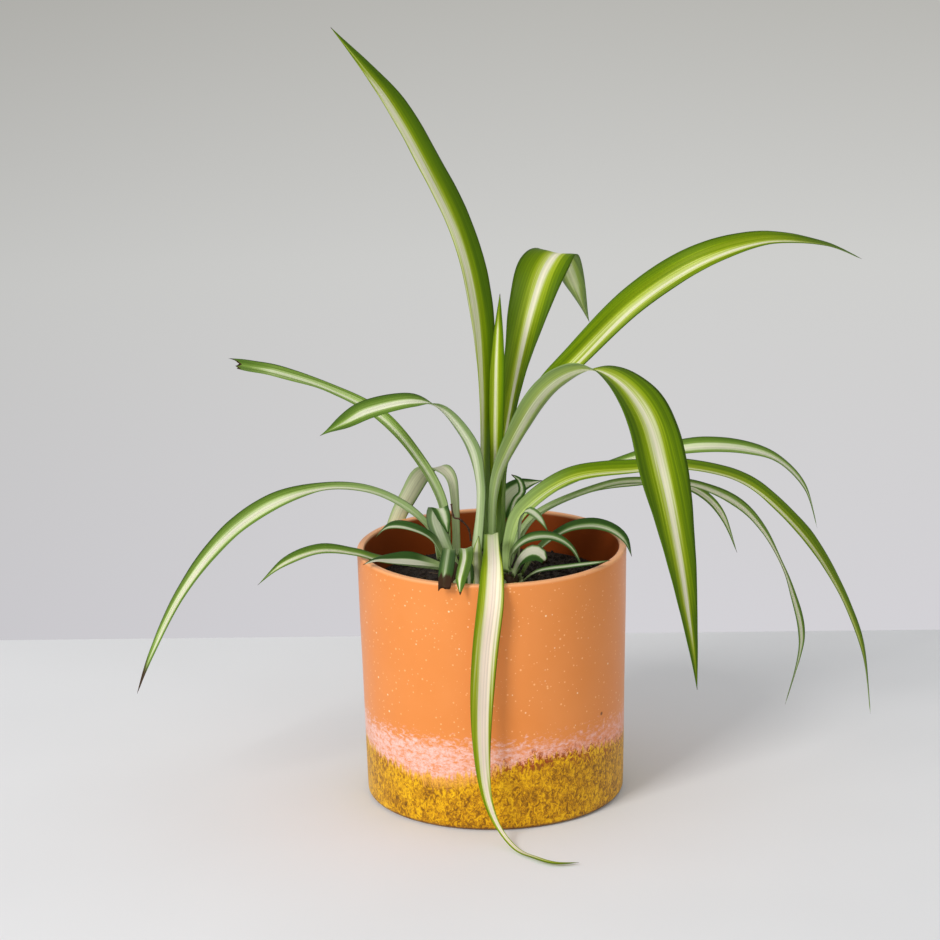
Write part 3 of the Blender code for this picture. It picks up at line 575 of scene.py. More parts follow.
def makeBladeMaterial(name):
    look = bladeFinishes[name]
    material, tree, output = newMaterial(name)
    grain = addNode(tree, "ShaderNodeAttribute", attribute_name="grain")
    stripe = addNode(tree, "ShaderNodeSeparateXYZ", {
        0: addNode(tree, "ShaderNodeAttribute", attribute_name="stripe").outputs["Vector"]})
    finish = addNode(tree, "ShaderNodeSeparateXYZ", {
        0: addNode(tree, "ShaderNodeAttribute", attribute_name="finish").outputs["Vector"]})
    across = addNode(tree, "ShaderNodeAttribute", attribute_name="across").outputs["Fac"]
    upperFace = addNode(tree, "ShaderNodeAttribute", attribute_name="upperFace").outputs["Fac"]
    share = addNode(tree, "ShaderNodeAttribute", attribute_name="share").outputs["Fac"]

    # fine lengthwise streaks move the edges of the band
    streakAt, veinAt, toneAt = [
        addNode(tree, "ShaderNodeVectorMath", {
            0: grain.outputs["Vector"], 1: (*perCell(*bladeGrain[cell]), seedStep)}, operation="MULTIPLY")
        for cell, seedStep in zip(("streakCell", "veinCell", "toneCell"), bladeGrain["seedStep"])]
    streak = addNode(tree, "ShaderNodeTexNoise", {"Vector": streakAt, "Scale": 1.0, "Detail": 2.0,
                                                  "Roughness": 0.5})
    depth = bladeGrain["streakDepth"]
    broad = addNode(tree, "ShaderNodeMapRange", {"Value": streak.outputs["Fac"], 1: 0.3, 2: 0.7,
                                                 3: -depth, 4: depth})
    vein = addNode(tree, "ShaderNodeTexNoise", {"Vector": veinAt, "Scale": 1.0, "Detail": 1.0})
    veinDepth = bladeGrain["veinDepth"]
    fine = addNode(tree, "ShaderNodeMapRange", {"Value": vein.outputs["Fac"], 1: 0.3, 2: 0.7,
                                                3: -veinDepth, 4: veinDepth})
    shift = addNode(tree, "ShaderNodeMath", {0: broad, 1: fine}, operation="ADD")
    aside = addNode(tree, "ShaderNodeMath", {0: across, 1: stripe.outputs["X"]}, operation="SUBTRACT")
    away = addNode(tree, "ShaderNodeMath", {0: aside}, operation="ABSOLUTE")
    past = addNode(tree, "ShaderNodeMath", {0: away, 1: stripe.outputs["Y"]}, operation="SUBTRACT")
    above = addNode(tree, "ShaderNodeMath", {0: aside, 1: 0.0}, operation="GREATER_THAN")
    blend = addNode(tree, "ShaderNodeMix", {0: above, 2: stripe.outputs["Z"], 3: finish.outputs["X"]})
    ratio = addNode(tree, "ShaderNodeMath", {0: past, 1: blend}, operation="DIVIDE")
    tip = addNode(tree, "ShaderNodeMapRange", {"Value": share, 1: 1 - bladeGrain["greenTip"], 2: 1.0,
                                               3: 0.0, 4: 1.2})
    greener = addNode(tree, "ShaderNodeMath", {0: ratio, 1: tip}, operation="ADD")
    # the band looks wider from below, where light comes through
    wider = addNode(tree, "ShaderNodeMapRange", {"Value": upperFace, 3: -bladeGrain["glowBelow"], 4: 0.0})
    shown = addNode(tree, "ShaderNodeMath", {0: greener, 1: wider}, operation="ADD")
    mixed = addNode(tree, "ShaderNodeMath", {0: shown, 1: shift}, operation="ADD")
    pale, green = bladeGrain["bandSpan"]
    step = addNode(tree, "ShaderNodeMapRange", {"Value": mixed, 1: pale, 2: green})
    bands = addNode(tree, "ShaderNodeValToRGB", {"Fac": step})
    setRamp(bands, look["bands"])

    # the middle of the band bleaches to white
    centre = addNode(tree, "ShaderNodeMapRange", {"Value": mixed, 1: -0.05, 2: -0.5, 3: 0.0, 4: 1.0})
    bleach = addNode(tree, "ShaderNodeMath", {0: centre, 1: finish.outputs["Z"]}, operation="MULTIPLY",
                     use_clamp=True)
    white = addNode(tree, "ShaderNodeMix", {"Factor": bleach, 6: bands,
                                            7: hexColour(bladeGrain["bleach"])}, data_type="RGBA")
    # pale foot of the leaf
    foot = addNode(tree, "ShaderNodeMapRange", {"Value": share, 1: 0.0, 2: look["foot"],
                                                3: 0.95, 4: 0.0}, interpolation_type="SMOOTHSTEP")
    footed = addNode(tree, "ShaderNodeMix", {"Factor": foot, 6: white.outputs[2],
                                             7: hexColour(look["base"])}, data_type="RGBA")
    # a darker line at each margin
    reach = addNode(tree, "ShaderNodeMath", {0: across}, operation="ABSOLUTE")
    lineFrom, lineTo = bladeGrain["marginLine"]
    rim = addNode(tree, "ShaderNodeMapRange", {"Value": reach, 1: lineFrom, 2: lineTo,
                                               3: 0.0, 4: bladeGrain["marginStrength"]})
    edged = addNode(tree, "ShaderNodeMix", {"Factor": rim, 6: footed.outputs[2],
                                            7: hexColour(look["margin"])}, data_type="RGBA")
    # the underside is paler and greyer
    below = addNode(tree, "ShaderNodeMapRange", {"Value": upperFace, 3: bladeGrain["paleBelow"], 4: 0.0})
    sided = addNode(tree, "ShaderNodeMix", {"Factor": below, 6: edged.outputs[2],
                                            7: hexColour(look["under"])}, data_type="RGBA")
    # slow tone changes over the plant
    cloud = addNode(tree, "ShaderNodeTexNoise", {"Vector": toneAt, "Scale": 1.0, "Detail": 1.0})
    darkest, lightest = bladeGrain["slowTone"]
    slow = addNode(tree, "ShaderNodeMapRange", {"Value": cloud.outputs["Fac"], 1: 0.3, 2: 0.7,
                                                3: darkest, 4: lightest})
    veinTone = bladeGrain["veinTone"]
    lined = addNode(tree, "ShaderNodeMapRange", {"Value": vein.outputs["Fac"], 1: 0.3, 2: 0.7,
                                                 3: 1 + veinTone, 4: 1 - veinTone})
    tone = addNode(tree, "ShaderNodeMath", {0: slow, 1: lined}, operation="MULTIPLY")
    toned = addNode(tree, "ShaderNodeHueSaturation", {"Color": sided.outputs[2], "Value": tone})
    # dried tip
    dryEdge = addNode(tree, "ShaderNodeMath", {0: finish.outputs["Y"], 1: shift}, operation="ADD")
    dryMask = addNode(tree, "ShaderNodeMapRange", {"Value": dryEdge, 1: 1.05, 2: 0.8, 3: 0.0, 4: 0.95})
    dried = addNode(tree, "ShaderNodeMix", {"Factor": dryMask, 6: toned,
                                            7: hexColour(bladeGrain["driedTip"])}, data_type="RGBA")
    colour = dried.outputs[2]

    bump = addNode(tree, "ShaderNodeBump", {
        "Height": vein.outputs["Fac"], "Strength": bladeGrain["ridgeStrength"],
        "Distance": bladeGrain["ridge"] * mm})
    smoothest, roughest = bladeGrain["rough"]
    rough = addNode(tree, "ShaderNodeMapRange", {"Value": streak.outputs["Fac"], 1: 0.3, 2: 0.7,
                                                 3: smoothest, 4: roughest})
    surface = addNode(tree, "ShaderNodeBsdfPrincipled", {
        "Base Color": colour, "Roughness": rough, "Normal": bump, "IOR": bladeGrain["ior"],
        "Specular IOR Level": bladeGrain["specular"]})
    behind = addNode(tree, "ShaderNodeBsdfTranslucent", {"Color": colour, "Normal": bump})
    sheet = addNode(tree, "ShaderNodeMixShader", {0: bladeGrain["through"], 1: surface, 2: behind})
    tree.links.new(sheet.outputs[0], output.inputs["Surface"])
    return material


# Crowns: bleached leaf feet that wrap each other on the soil
crowns = {
    "crown_main": {"at": (-4, -6), "foot": 6.5, "top": 4.6, "height": 16.5, "sheaths": 9},
    "crown_left": {"at": (-19, -16), "foot": 4.8, "top": 3.4, "height": 15, "sheaths": 7},
    "crown_right": {"at": (9, -9), "foot": 5.0, "top": 3.4, "height": 7, "sheaths": 7},
}
crownBuild = {
    "soilTop": 104.5, "sides": 20,
    "sheathWidth": 6.5, "rise": 1.25, "lean": 3.0,
    "goldenTurn": 0.382, "firstTurn": 0.07,     # each sheath grows this share of a turn further on
}


def makeCrown(name, crown, tree, material):
    base = crownBuild["soilTop"]
    height = crown["height"]
    profile = [(0, 0), (crown["foot"] * 0.8, 0), (crown["foot"] * 0.92, height * 0.3),
               (crown["top"] * 0.92, height * 0.9), (crown["top"] * 0.6, height), (0, height)]
    core = bmesh.new()
    core.from_mesh(turned(name, [(r, z + base) for r, z in profile], crownBuild["sides"], crown["at"]))
    bmesh.ops.recalc_face_normals(core, faces=core.faces)
    for i in range(crown["sheaths"]):
        angle = 2 * math.pi * (i * crownBuild["goldenTurn"] + crownBuild["firstTurn"])
        out = Vector((math.cos(angle), math.sin(angle), 0))
        centre = Vector((*crown["at"], base))
        top = height * crownBuild["rise"] * (0.75 + 0.25 * math.sin(i * 2.4))
        reach = (crown["foot"], crown["foot"] * 0.98, crown["top"] + 1.0, crown["top"] + crownBuild["lean"])
        rises = (0.3, top * 0.35, top * 0.75, top)
        path = [tuple(centre + out * r + Vector((0, 0, z))) for r, z in zip(reach, rises)]
        sheath = makeBlade(f"{name}_sheath_{i}", {
            "path": path, "width": [crownBuild["sheathWidth"] * s for s in (0.9, 1.0, 0.75, 0.08)],
            "turn": [0, 0, 0, 0], "lean": math.degrees(angle), "fold": (38, 20),
            "stripe": (0.0, 0.3), "blend": (0.9, 0.9), "dry": 0.8}, tree, material, 40 + i)
        core.from_mesh(sheath.data)
        bpy.data.objects.remove(sheath)
    mesh = bpy.data.meshes.new(name + "_sheaths")
    core.to_mesh(mesh)
    core.free()
    mesh.shade_smooth()
    return addObject(name + "_sheaths", mesh, material)


# Glazed pot
pot = {
    "rim": 65.0, "foot": 62.4, "height": 123.0, "wall": 3.6, "floor": 4.0,
    "rimRound": 1.0, "footRound": 2.6,
    "sides": 180, "rows": 30,
    "insideRound": 1.5, "insideRise": 3.0,      # where the inner wall meets the floor
    "uneven": 0.12, "unevenCell": 35.7143,      # how far the thrown wall wanders, and over what size
}


def turned(name, profile, sides, centre=(0, 0)):
    # Turns a profile of (radius, height) that starts and ends on the axis
    verts, rows, faces = [], [], []
    for radius, height in profile:
        if radius < 1e-6:
            rows.append([len(verts)] * sides)
            verts.append(Vector((*centre, height)) * mm)
            continue
        rows.append(range(len(verts), len(verts) + sides))
        for i in range(sides):
            angle = 2 * math.pi * i / sides
            spot = (centre[0] + radius * math.cos(angle), centre[1] + radius * math.sin(angle), height)
            verts.append(Vector(spot) * mm)
    for lower, upper in zip(rows, rows[1:]):
        for i in range(sides):
            j = (i + 1) % sides
            faces.append(list(dict.fromkeys((lower[i], lower[j], upper[j], upper[i]))))
    mesh = bpy.data.meshes.new(name)
    mesh.from_pydata(verts, [], faces)
    return mesh


def arc(centre, radius, start, end, steps=6):
    angles = [math.radians(start + (end - start) * i / steps) for i in range(steps + 1)]
    return [(centre[0] + radius * math.cos(a), centre[1] + radius * math.sin(a)) for a in angles]


def makePot(material):
    def outside(height):
        return pot["foot"] + (pot["rim"] - pot["foot"]) * height / pot["height"]
    top = pot["height"] - pot["rimRound"]
    inner = outside(top) - pot["wall"]
    rows = pot["rows"]
    heights = [pot["footRound"] + (top - pot["footRound"]) * i / rows for i in range(1, rows)]
    profile = [(0, 0), (pot["foot"] * 0.5, 0)]
    profile += arc((pot["foot"] - pot["footRound"], pot["footRound"]), pot["footRound"], -90, 0)
    profile += [(outside(z), z) for z in heights]
    profile += arc((outside(top) - pot["rimRound"], top), pot["rimRound"], 0, 90)
    profile += arc((inner + pot["rimRound"], top), pot["rimRound"], 90, 180)
    profile += [(outside(z) - pot["wall"], z) for z in reversed(heights)
                if z > pot["floor"] + pot["insideRise"]]
    profile += [(outside(pot["floor"]) - pot["wall"] - pot["insideRound"], pot["floor"]), (0, pot["floor"])]
    mesh = turned("pot_shell", profile, pot["sides"])
    form = bmesh.new()
    form.from_mesh(mesh)
    bmesh.ops.recalc_face_normals(form, faces=form.faces)
    for vert in form.verts:
        height = vert.co.z / mm
        if 1 < height < pot["height"] - 1:
            swell = noise.noise(vert.co / (pot["unevenCell"] * mm)) * pot["uneven"] * mm
            away = Vector((vert.co.x, vert.co.y, 0)).normalized()
            vert.co += away * swell
    form.to_mesh(mesh)
    form.free()
    mesh.shade_smooth()
    return addObject("pot_shell", mesh, material)


# Stoneware with a speckled satin glaze over a runny reactive foot glaze. That gives the
# eye a soft even orange, fine light specks, a frothy pink seam and streaky mustard.
glaze = {
    # the inner wall's colour is the orange glaze drawn darker: painted shade inside the pot
    "orange": "#EA934F", "orangeDeep": "#E1863C", "inside": "#8E4016",
    # the rim's lighter colour is partly thin glaze, partly a painted highlight
    "speck": "#FFE9C4", "speckSoft": "#FFC58A", "rimThinGlazeAndHighlight": "#F6B887", "bareClay": "#D8C7B0",
    "pink": "#F3C8BE", "pinkDeep": "#E8926C", "crackle": "#E0834C",
    "mustard": [(0.32, "#6A4400"), (0.41, "#926200"), (0.48, "#BC8200"), (0.56, "#DCA400"),
                (0.68, "#F6C410")],
    # the dark brown serves the iron fleck and the foot line, which is partly painted contact shadow
    "seamGlow": "#F7B456", "drip": "#9C4712", "ironFleckAndFootShadow": "#6B3A10",
    "speckCell": 5.0, "speckRadius": 0.56,      # sparse large specks
    "dustCell": 2.1, "dustRadius": 0.52,        # faint fine ones
    "cloudCell": 33.3333, "patchCell": 13.3333,
    "flakeCell": (3.0303, 3.0303, 1.6667), "crackCell": (2.381, 2.381, 1.7857),
    "dripCell": (1.6129, 1.6129, 7.6923), "mottleCell": (2.0, 2.0, 2.6316),
    "seamTop": 47.0, "seamFade": 11.0,          # the pink seam's upper edge, and how it breaks up
    "mustardTop": 31.5, "mustardWave": 5.0, "mustardRagged": 3.0,
    "glowAt": (-22, -59, 27),
    "fleckAt": (51.2, -37.8, 49.5),             # one dark iron fleck in the glaze
    "specular": 0.25, "rough": 0.33, "footRough": 0.42, "clayRough": 0.85,
}


def makeGlaze():
    material, tree, output = newMaterial("speckledReactiveGlaze")
    where = addNode(tree, "ShaderNodeTexCoord").outputs["Object"]
    spot = addNode(tree, "ShaderNodeSeparateXYZ", {0: where})
    height = addNode(tree, "ShaderNodeMath", {0: spot.outputs["Z"], 1: 1 / mm}, operation="MULTIPLY")

    cloud = addNode(tree, "ShaderNodeTexNoise", {"Vector": where, "Scale": 1 / (glaze["cloudCell"] * mm),
                                                 "Detail": 3.0})
    base = addNode(tree, "ShaderNodeMix", {"Factor": cloud, 6: hexColour(glaze["orange"]),
                                           7: hexColour(glaze["orangeDeep"])}, data_type="RGBA")
    colour = base.outputs[2]
    for cell, radius, tint, strength in (
            (glaze["dustCell"], glaze["dustRadius"], glaze["speckSoft"], 0.65),
            (glaze["speckCell"], glaze["speckRadius"], glaze["speck"], 0.9)):
        cells = addNode(tree, "ShaderNodeTexVoronoi", {"Vector": where, "Scale": 1 / (cell * mm)})
        chance = addNode(tree, "ShaderNodeSeparateColor", {0: cells.outputs["Color"]})
        size = addNode(tree, "ShaderNodeMapRange", {"Value": chance, 1: 0.1, 2: 1.0,
                                                    3: 0.0, 4: radius / cell})
        near = addNode(tree, "ShaderNodeMath", {0: size, 1: cells.outputs["Distance"]},
                       operation="SUBTRACT")
        dot = addNode(tree, "ShaderNodeMapRange", {"Value": near, 1: -0.02, 2: 0.05, 3: 0.0, 4: strength})
        colour = addNode(tree, "ShaderNodeMix", {"Factor": dot, 6: colour, 7: hexColour(tint)},
                         data_type="RGBA").outputs[2]

    # frothy pink seam: flakes that grow denser downwards, crossed by crackle
    depth = addNode(tree, "ShaderNodeMapRange", {
        "Value": height, 1: glaze["seamTop"] + 2.5, 2: glaze["seamTop"] - glaze["seamFade"],
        3: 0.0, 4: 1.0})
    flakeAt, crackAt, dripAt, mottleAt = [
        addNode(tree, "ShaderNodeVectorMath", {0: where, 1: perCell(*glaze[cell])}, operation="MULTIPLY")
        for cell in ("flakeCell", "crackCell", "dripCell", "mottleCell")]
    flake = addNode(tree, "ShaderNodeTexNoise", {"Vector": flakeAt, "Scale": 1.0, "Detail": 4.0,
                                                 "Roughness": 0.68, "Distortion": 0.5})
    needed = addNode(tree, "ShaderNodeMapRange", {"Value": depth, 1: 0.0, 2: 0.8, 3: 0.7, 4: 0.36})
    froth = addNode(tree, "ShaderNodeMath", {0: flake.outputs["Fac"], 1: needed}, operation="SUBTRACT")
    frothMask = addNode(tree, "ShaderNodeMapRange", {"Value": froth, 1: -0.08, 2: 0.14})
    below = addNode(tree, "ShaderNodeMath", {0: depth, 1: 0.02}, operation="GREATER_THAN")
    pinkMask = addNode(tree, "ShaderNodeMath", {0: frothMask, 1: below}, operation="MULTIPLY")
    # it turns deeper and darker towards the right: painted shade on the side away from the key lamp
    pinkShadeRight = addNode(tree, "ShaderNodeMapRange", {"Value": spot.outputs["X"], 1: -25 * mm, 2: 50 * mm,
                                                  3: 0.06, 4: -0.13})
    paler = addNode(tree, "ShaderNodeMath", {0: flake.outputs["Fac"], 1: pinkShadeRight}, operation="ADD")
    pinkTone = addNode(tree, "ShaderNodeMapRange", {"Value": paler, 1: 0.3, 2: 0.66})
    pink = addNode(tree, "ShaderNodeMix", {"Factor": pinkTone, 6: hexColour(glaze["pinkDeep"]),
                                           7: hexColour(glaze["pink"])}, data_type="RGBA")
    wobble = addNode(tree, "ShaderNodeTexNoise", {"Vector": crackAt, "Scale": 1.3, "Detail": 2.0})
    bent = addNode(tree, "ShaderNodeVectorMath", {0: crackAt, 1: wobble.outputs["Color"]}, operation="ADD")
    crack = addNode(tree, "ShaderNodeTexVoronoi", {"Vector": bent, "Scale": 1.0},
                    feature="DISTANCE_TO_EDGE")
    crackMask = addNode(tree, "ShaderNodeMapRange", {"Value": crack, 1: 0.09, 2: 0.02, 3: 0.0, 4: 0.4})
    cracked = addNode(tree, "ShaderNodeMix", {"Factor": crackMask, 6: pink.outputs[2],
                                              7: hexColour(glaze["crackle"])}, data_type="RGBA")
    seamed = addNode(tree, "ShaderNodeMix", {"Factor": pinkMask, 6: colour, 7: cracked.outputs[2]},
                     data_type="RGBA")

    # mustard foot: its edge rises and falls round the pot and runs in vertical drips
    share = addNode(tree, "ShaderNodeMath", {0: spot.outputs["X"], 1: math.pi / (pot["foot"] * mm)},
                    operation="MULTIPLY")
    turn = addNode(tree, "ShaderNodeMath", {0: share, 1: 0.126}, operation="ADD")
    wave = addNode(tree, "ShaderNodeMath", {0: turn}, operation="SINE")
    edge = addNode(tree, "ShaderNodeMath", {0: wave, 1: glaze["mustardWave"], 2: glaze["mustardTop"]},
                   operation="MULTIPLY_ADD")
    drip = addNode(tree, "ShaderNodeTexNoise", {"Vector": dripAt, "Scale": 1.0, "Detail": 3.0,
                                                "Roughness": 0.6})
    ragged = addNode(tree, "ShaderNodeMapRange", {"Value": drip.outputs["Fac"], 1: 0.3, 2: 0.7,
                                                  3: -glaze["mustardRagged"], 4: glaze["mustardRagged"]})
    under = addNode(tree, "ShaderNodeMath", {0: edge, 1: height}, operation="SUBTRACT")
    reach = addNode(tree, "ShaderNodeMath", {0: under, 1: ragged}, operation="ADD")
    mustardMask = addNode(tree, "ShaderNodeMapRange", {"Value": reach, 1: -0.6, 2: 1.6})
    mottle = addNode(tree, "ShaderNodeTexNoise", {"Vector": mottleAt, "Scale": 1.0, "Detail": 5.0,
                                                  "Roughness": 0.72, "Distortion": 1.3})
    # grains gather in patches, and in streaks near the edge
    patches = addNode(tree, "ShaderNodeTexNoise", {
        "Vector": where, "Scale": 1 / (glaze["patchCell"] * mm), "Detail": 2.0})
    patchShift = addNode(tree, "ShaderNodeMapRange", {"Value": patches.outputs["Fac"], 1: 0.3, 2: 0.7,
                                                      3: -0.05, 4: 0.05})
    streakDepth = addNode(tree, "ShaderNodeMapRange", {"Value": reach, 1: 10.0, 2: 1.0, 3: 0.04, 4: 0.2})
    streakShift = addNode(tree, "ShaderNodeMath", {0: drip.outputs["Fac"], 1: -0.5}, operation="ADD")
    streaks = addNode(tree, "ShaderNodeMath", {0: streakShift, 1: streakDepth}, operation="MULTIPLY")
    streaky = addNode(tree, "ShaderNodeMath", {0: mottle.outputs["Fac"], 1: streaks}, operation="ADD")
    grainy = addNode(tree, "ShaderNodeMath", {0: streaky, 1: patchShift}, operation="ADD")
    mustard = addNode(tree, "ShaderNodeValToRGB", {"Fac": grainy})
    setRamp(mustard, glaze["mustard"])
    # a soft yellow glow where the seam sags lowest
    off = addNode(tree, "ShaderNodeVectorMath", {0: where, 1: [v * mm for v in glaze["glowAt"]]},
                  operation="DISTANCE")
    width = addNode(tree, "ShaderNodeMapRange", {"Value": off.outputs["Value"], 1: 8 * mm, 2: 32 * mm,
                                                 3: 8.0, 4: 2.0})
    glow = addNode(tree, "ShaderNodeMapRange", {"Value": reach, 1: width, 2: 0.0, 3: 0.0, 4: 1.0})
    glowed = addNode(tree, "ShaderNodeMix", {"Factor": glow, 6: mustard, 7: hexColour(glaze["seamGlow"])},
                     data_type="RGBA")
    footed = addNode(tree, "ShaderNodeMix", {"Factor": mustardMask, 6: seamed.outputs[2],
                                             7: glowed.outputs[2]}, data_type="RGBA")
    # rust-brown runs along that edge, mostly on one side of the pot
    upward = addNode(tree, "ShaderNodeMapRange", {"Value": reach, 1: -3.5, 2: 0.5})
    downward = addNode(tree, "ShaderNodeMapRange", {"Value": reach, 1: 8.0, 2: 2.0})
    near = addNode(tree, "ShaderNodeMath", {0: upward, 1: downward}, operation="MINIMUM")
    sided = addNode(tree, "ShaderNodeMapRange", {"Value": spot.outputs["X"], 1: -15 * mm, 2: 10 * mm,
                                                 3: 0.3, 4: 1.0})
    run = addNode(tree, "ShaderNodeMapRange", {"Value": streaky, 1: 0.5, 2: 0.44})
    strong = addNode(tree, "ShaderNodeMath", {0: near, 1: sided}, operation="MULTIPLY")
    dripMask = addNode(tree, "ShaderNodeMath", {0: strong, 1: run}, operation="MULTIPLY")
    dripped = addNode(tree, "ShaderNodeMix", {"Factor": dripMask, 6: footed.outputs[2],
                                              7: hexColour(glaze["drip"])}, data_type="RGBA")
    # a dark brown line at the foot: partly a darker foot ring, partly painted contact shadow where the pot
    # meets the shelf
    footRingAndShadowMask = addNode(tree, "ShaderNodeMapRange", {"Value": height, 1: 2.2, 2: 0.8, 3: 0.0, 4: 0.8})
    lined = addNode(tree, "ShaderNodeMix", {"Factor": footRingAndShadowMask, 6: dripped.outputs[2],
                                            7: hexColour(glaze["ironFleckAndFootShadow"])}, data_type="RGBA")

    # one iron fleck, a lighter rim (partly where the glaze runs thin, partly a painted highlight), a plain
    # inside painted darker as painted shade, and a bare foot
    away = addNode(tree, "ShaderNodeVectorMath", {0: where, 1: [v * mm for v in glaze["fleckAt"]]},
                   operation="DISTANCE")
    fleck = addNode(tree, "ShaderNodeMapRange", {"Value": away.outputs["Value"], 1: 1.1 * mm, 2: 0.6 * mm,
                                                 3: 0.0, 4: 0.85})
    flecked = addNode(tree, "ShaderNodeMix", {"Factor": fleck, 6: lined.outputs[2],
                                              7: hexColour(glaze["ironFleckAndFootShadow"])}, data_type="RGBA")
    # inner wall and floor, above the foot: a plain darker orange that is painted shade
    flatSpot = addNode(tree, "ShaderNodeVectorMath", {0: where, 1: (1, 1, 0)}, operation="MULTIPLY")
    radius = addNode(tree, "ShaderNodeVectorMath", {0: flatSpot}, operation="LENGTH")
    wall = addNode(tree, "ShaderNodeMath", {0: radius.outputs["Value"], 1: (pot["foot"] - 0.5) * mm},
                   operation="LESS_THAN")
    high = addNode(tree, "ShaderNodeMath", {0: height, 1: 3.0}, operation="GREATER_THAN")
    insideShadeMask = addNode(tree, "ShaderNodeMath", {0: wall, 1: high}, operation="MULTIPLY")
    inside = addNode(tree, "ShaderNodeMix", {"Factor": insideShadeMask, 6: flecked.outputs[2],
                                             7: hexColour(glaze["inside"])}, data_type="RGBA")
    # lighter towards the top of the rim: partly glaze running thin, partly a painted highlight
    rimThinGlazeAndHighlightMask = addNode(tree, "ShaderNodeMapRange", {"Value": height, 1: pot["height"] - 1.5,
                                                   2: pot["height"] - 0.4, 3: 0.0, 4: 0.6})
    rimmed = addNode(tree, "ShaderNodeMix", {"Factor": rimThinGlazeAndHighlightMask, 6: inside.outputs[2],
                                             7: hexColour(glaze["rimThinGlazeAndHighlight"])}, data_type="RGBA")
    bare = addNode(tree, "ShaderNodeMath", {0: height, 1: 0.3}, operation="LESS_THAN")
    final = addNode(tree, "ShaderNodeMix", {"Factor": bare, 6: rimmed.outputs[2],
                                            7: hexColour(glaze["bareClay"])}, data_type="RGBA")

    glossy = addNode(tree, "ShaderNodeMapRange", {
        "Value": mustardMask, 3: glaze["rough"], 4: glaze["footRough"]})
    rough = addNode(tree, "ShaderNodeMix", {"Factor": bare, "A": glossy, "B": glaze["clayRough"]})
    relief = addNode(tree, "ShaderNodeMath", {0: mottle.outputs["Fac"], 1: mustardMask},
                     operation="MULTIPLY")
    bump = addNode(tree, "ShaderNodeBump", {"Height": relief, "Strength": 0.5, "Distance": 0.25 * mm})
    surface = addNode(tree, "ShaderNodeBsdfPrincipled", {
        "Base Color": final.outputs[2], "Roughness": rough.outputs[0], "Normal": bump, "IOR": 1.5,
        "Specular IOR Level": glaze["specular"]})
    tree.links.new(surface.outputs[0], output.inputs["Surface"])
    return material


# Potting soil
soil = {
    "level": 103.0, "mound": 1.2, "floor": 4.3, "gap": 0.4, "lumps": 1.4,
    "sides": 96, "rings": 26, "lumpCell": 6.25,
    "crumbs": 340000, "smallestCrumb": 0.45, "largestCrumb": 2.1, "seed": 7,
    "fibres": 9000, "fibreLength": 9.0, "fibreWidth": 0.16,
    "crumbEdge": 1.5, "fibreEdge": 8.0,         # kept free along the pot's wall
}


def makeSoil(crumbTree, fibreTree, materials):
    radius = pot["rim"] - pot["wall"] - soil["gap"] - 0.42
    bottom = pot["foot"] - pot["wall"] - soil["gap"] + 0.1
    rings = soil["rings"]
    profile = [(0, soil["floor"]), (bottom, soil["floor"]), (radius, soil["level"])]
    profile += [(radius * (1 - i / rings), soil["level"] + soil["mound"] * min(1, 2.6 * i / rings))
                for i in range(1, rings + 1)]
    mesh = turned("soil_bed", profile, soil["sides"])
    form = bmesh.new()
    form.from_mesh(mesh)
    bmesh.ops.recalc_face_normals(form, faces=form.faces)
    for vert in form.verts:
        if vert.co.z > (soil["level"] + 0.01) * mm:
            lumps = noise.fractal(vert.co / (soil["lumpCell"] * mm), 0.9, 2.2, 4) * soil["lumps"]
            vert.co.z += lumps * mm
    form.to_mesh(mesh)
    form.free()
    mesh.shade_smooth()
    bed = addObject("soil_bed", mesh, materials["peat"])
    top = mesh.copy()
    crumbs = grow(addObject("soil_crumbs", top), crumbTree, {
        "Density": float(soil["crumbs"]), "Smallest": soil["smallestCrumb"] * mm,
        "Largest": soil["largestCrumb"] * mm, "Reach": (radius - soil["crumbEdge"]) * mm,
        "Seed": soil["seed"], "Material": materials["peat"]})
    fibres = grow(addObject("soil_fibres", mesh.copy()), fibreTree, {
        "Density": float(soil["fibres"]), "Length": soil["fibreLength"] * mm,
        "Width": soil["fibreWidth"] * mm, "Reach": (radius - soil["fibreEdge"]) * mm,
        "Seed": soil["seed"] + 5, "Material": materials["fibre"]})
    return bed, crumbs, fibres


def scatterPoints(tree, given):
    # Points on the upward faces of a surface, within reach of its axis
    normal = addNode(tree, "ShaderNodeSeparateXYZ", {0: addNode(tree, "GeometryNodeInputNormal")})
    facing = addNode(tree, "ShaderNodeMath", {0: normal.outputs["Z"], 1: 0.6}, operation="GREATER_THAN")
    spot = addNode(tree, "GeometryNodeInputPosition")
    flat = addNode(tree, "ShaderNodeVectorMath", {0: spot, 1: (1, 1, 0)}, operation="MULTIPLY")
    away = addNode(tree, "ShaderNodeVectorMath", {0: flat}, operation="LENGTH")
    within = addNode(tree, "ShaderNodeMath", {0: away.outputs["Value"], 1: given["Reach"]},
                     operation="LESS_THAN")
    chosen = addNode(tree, "ShaderNodeMath", {0: facing, 1: within}, operation="MULTIPLY")
    return addNode(tree, "GeometryNodeDistributePointsOnFaces", {
        "Mesh": given["Geometry"], "Selection": chosen, "Density": given["Density"], "Seed": given["Seed"]})


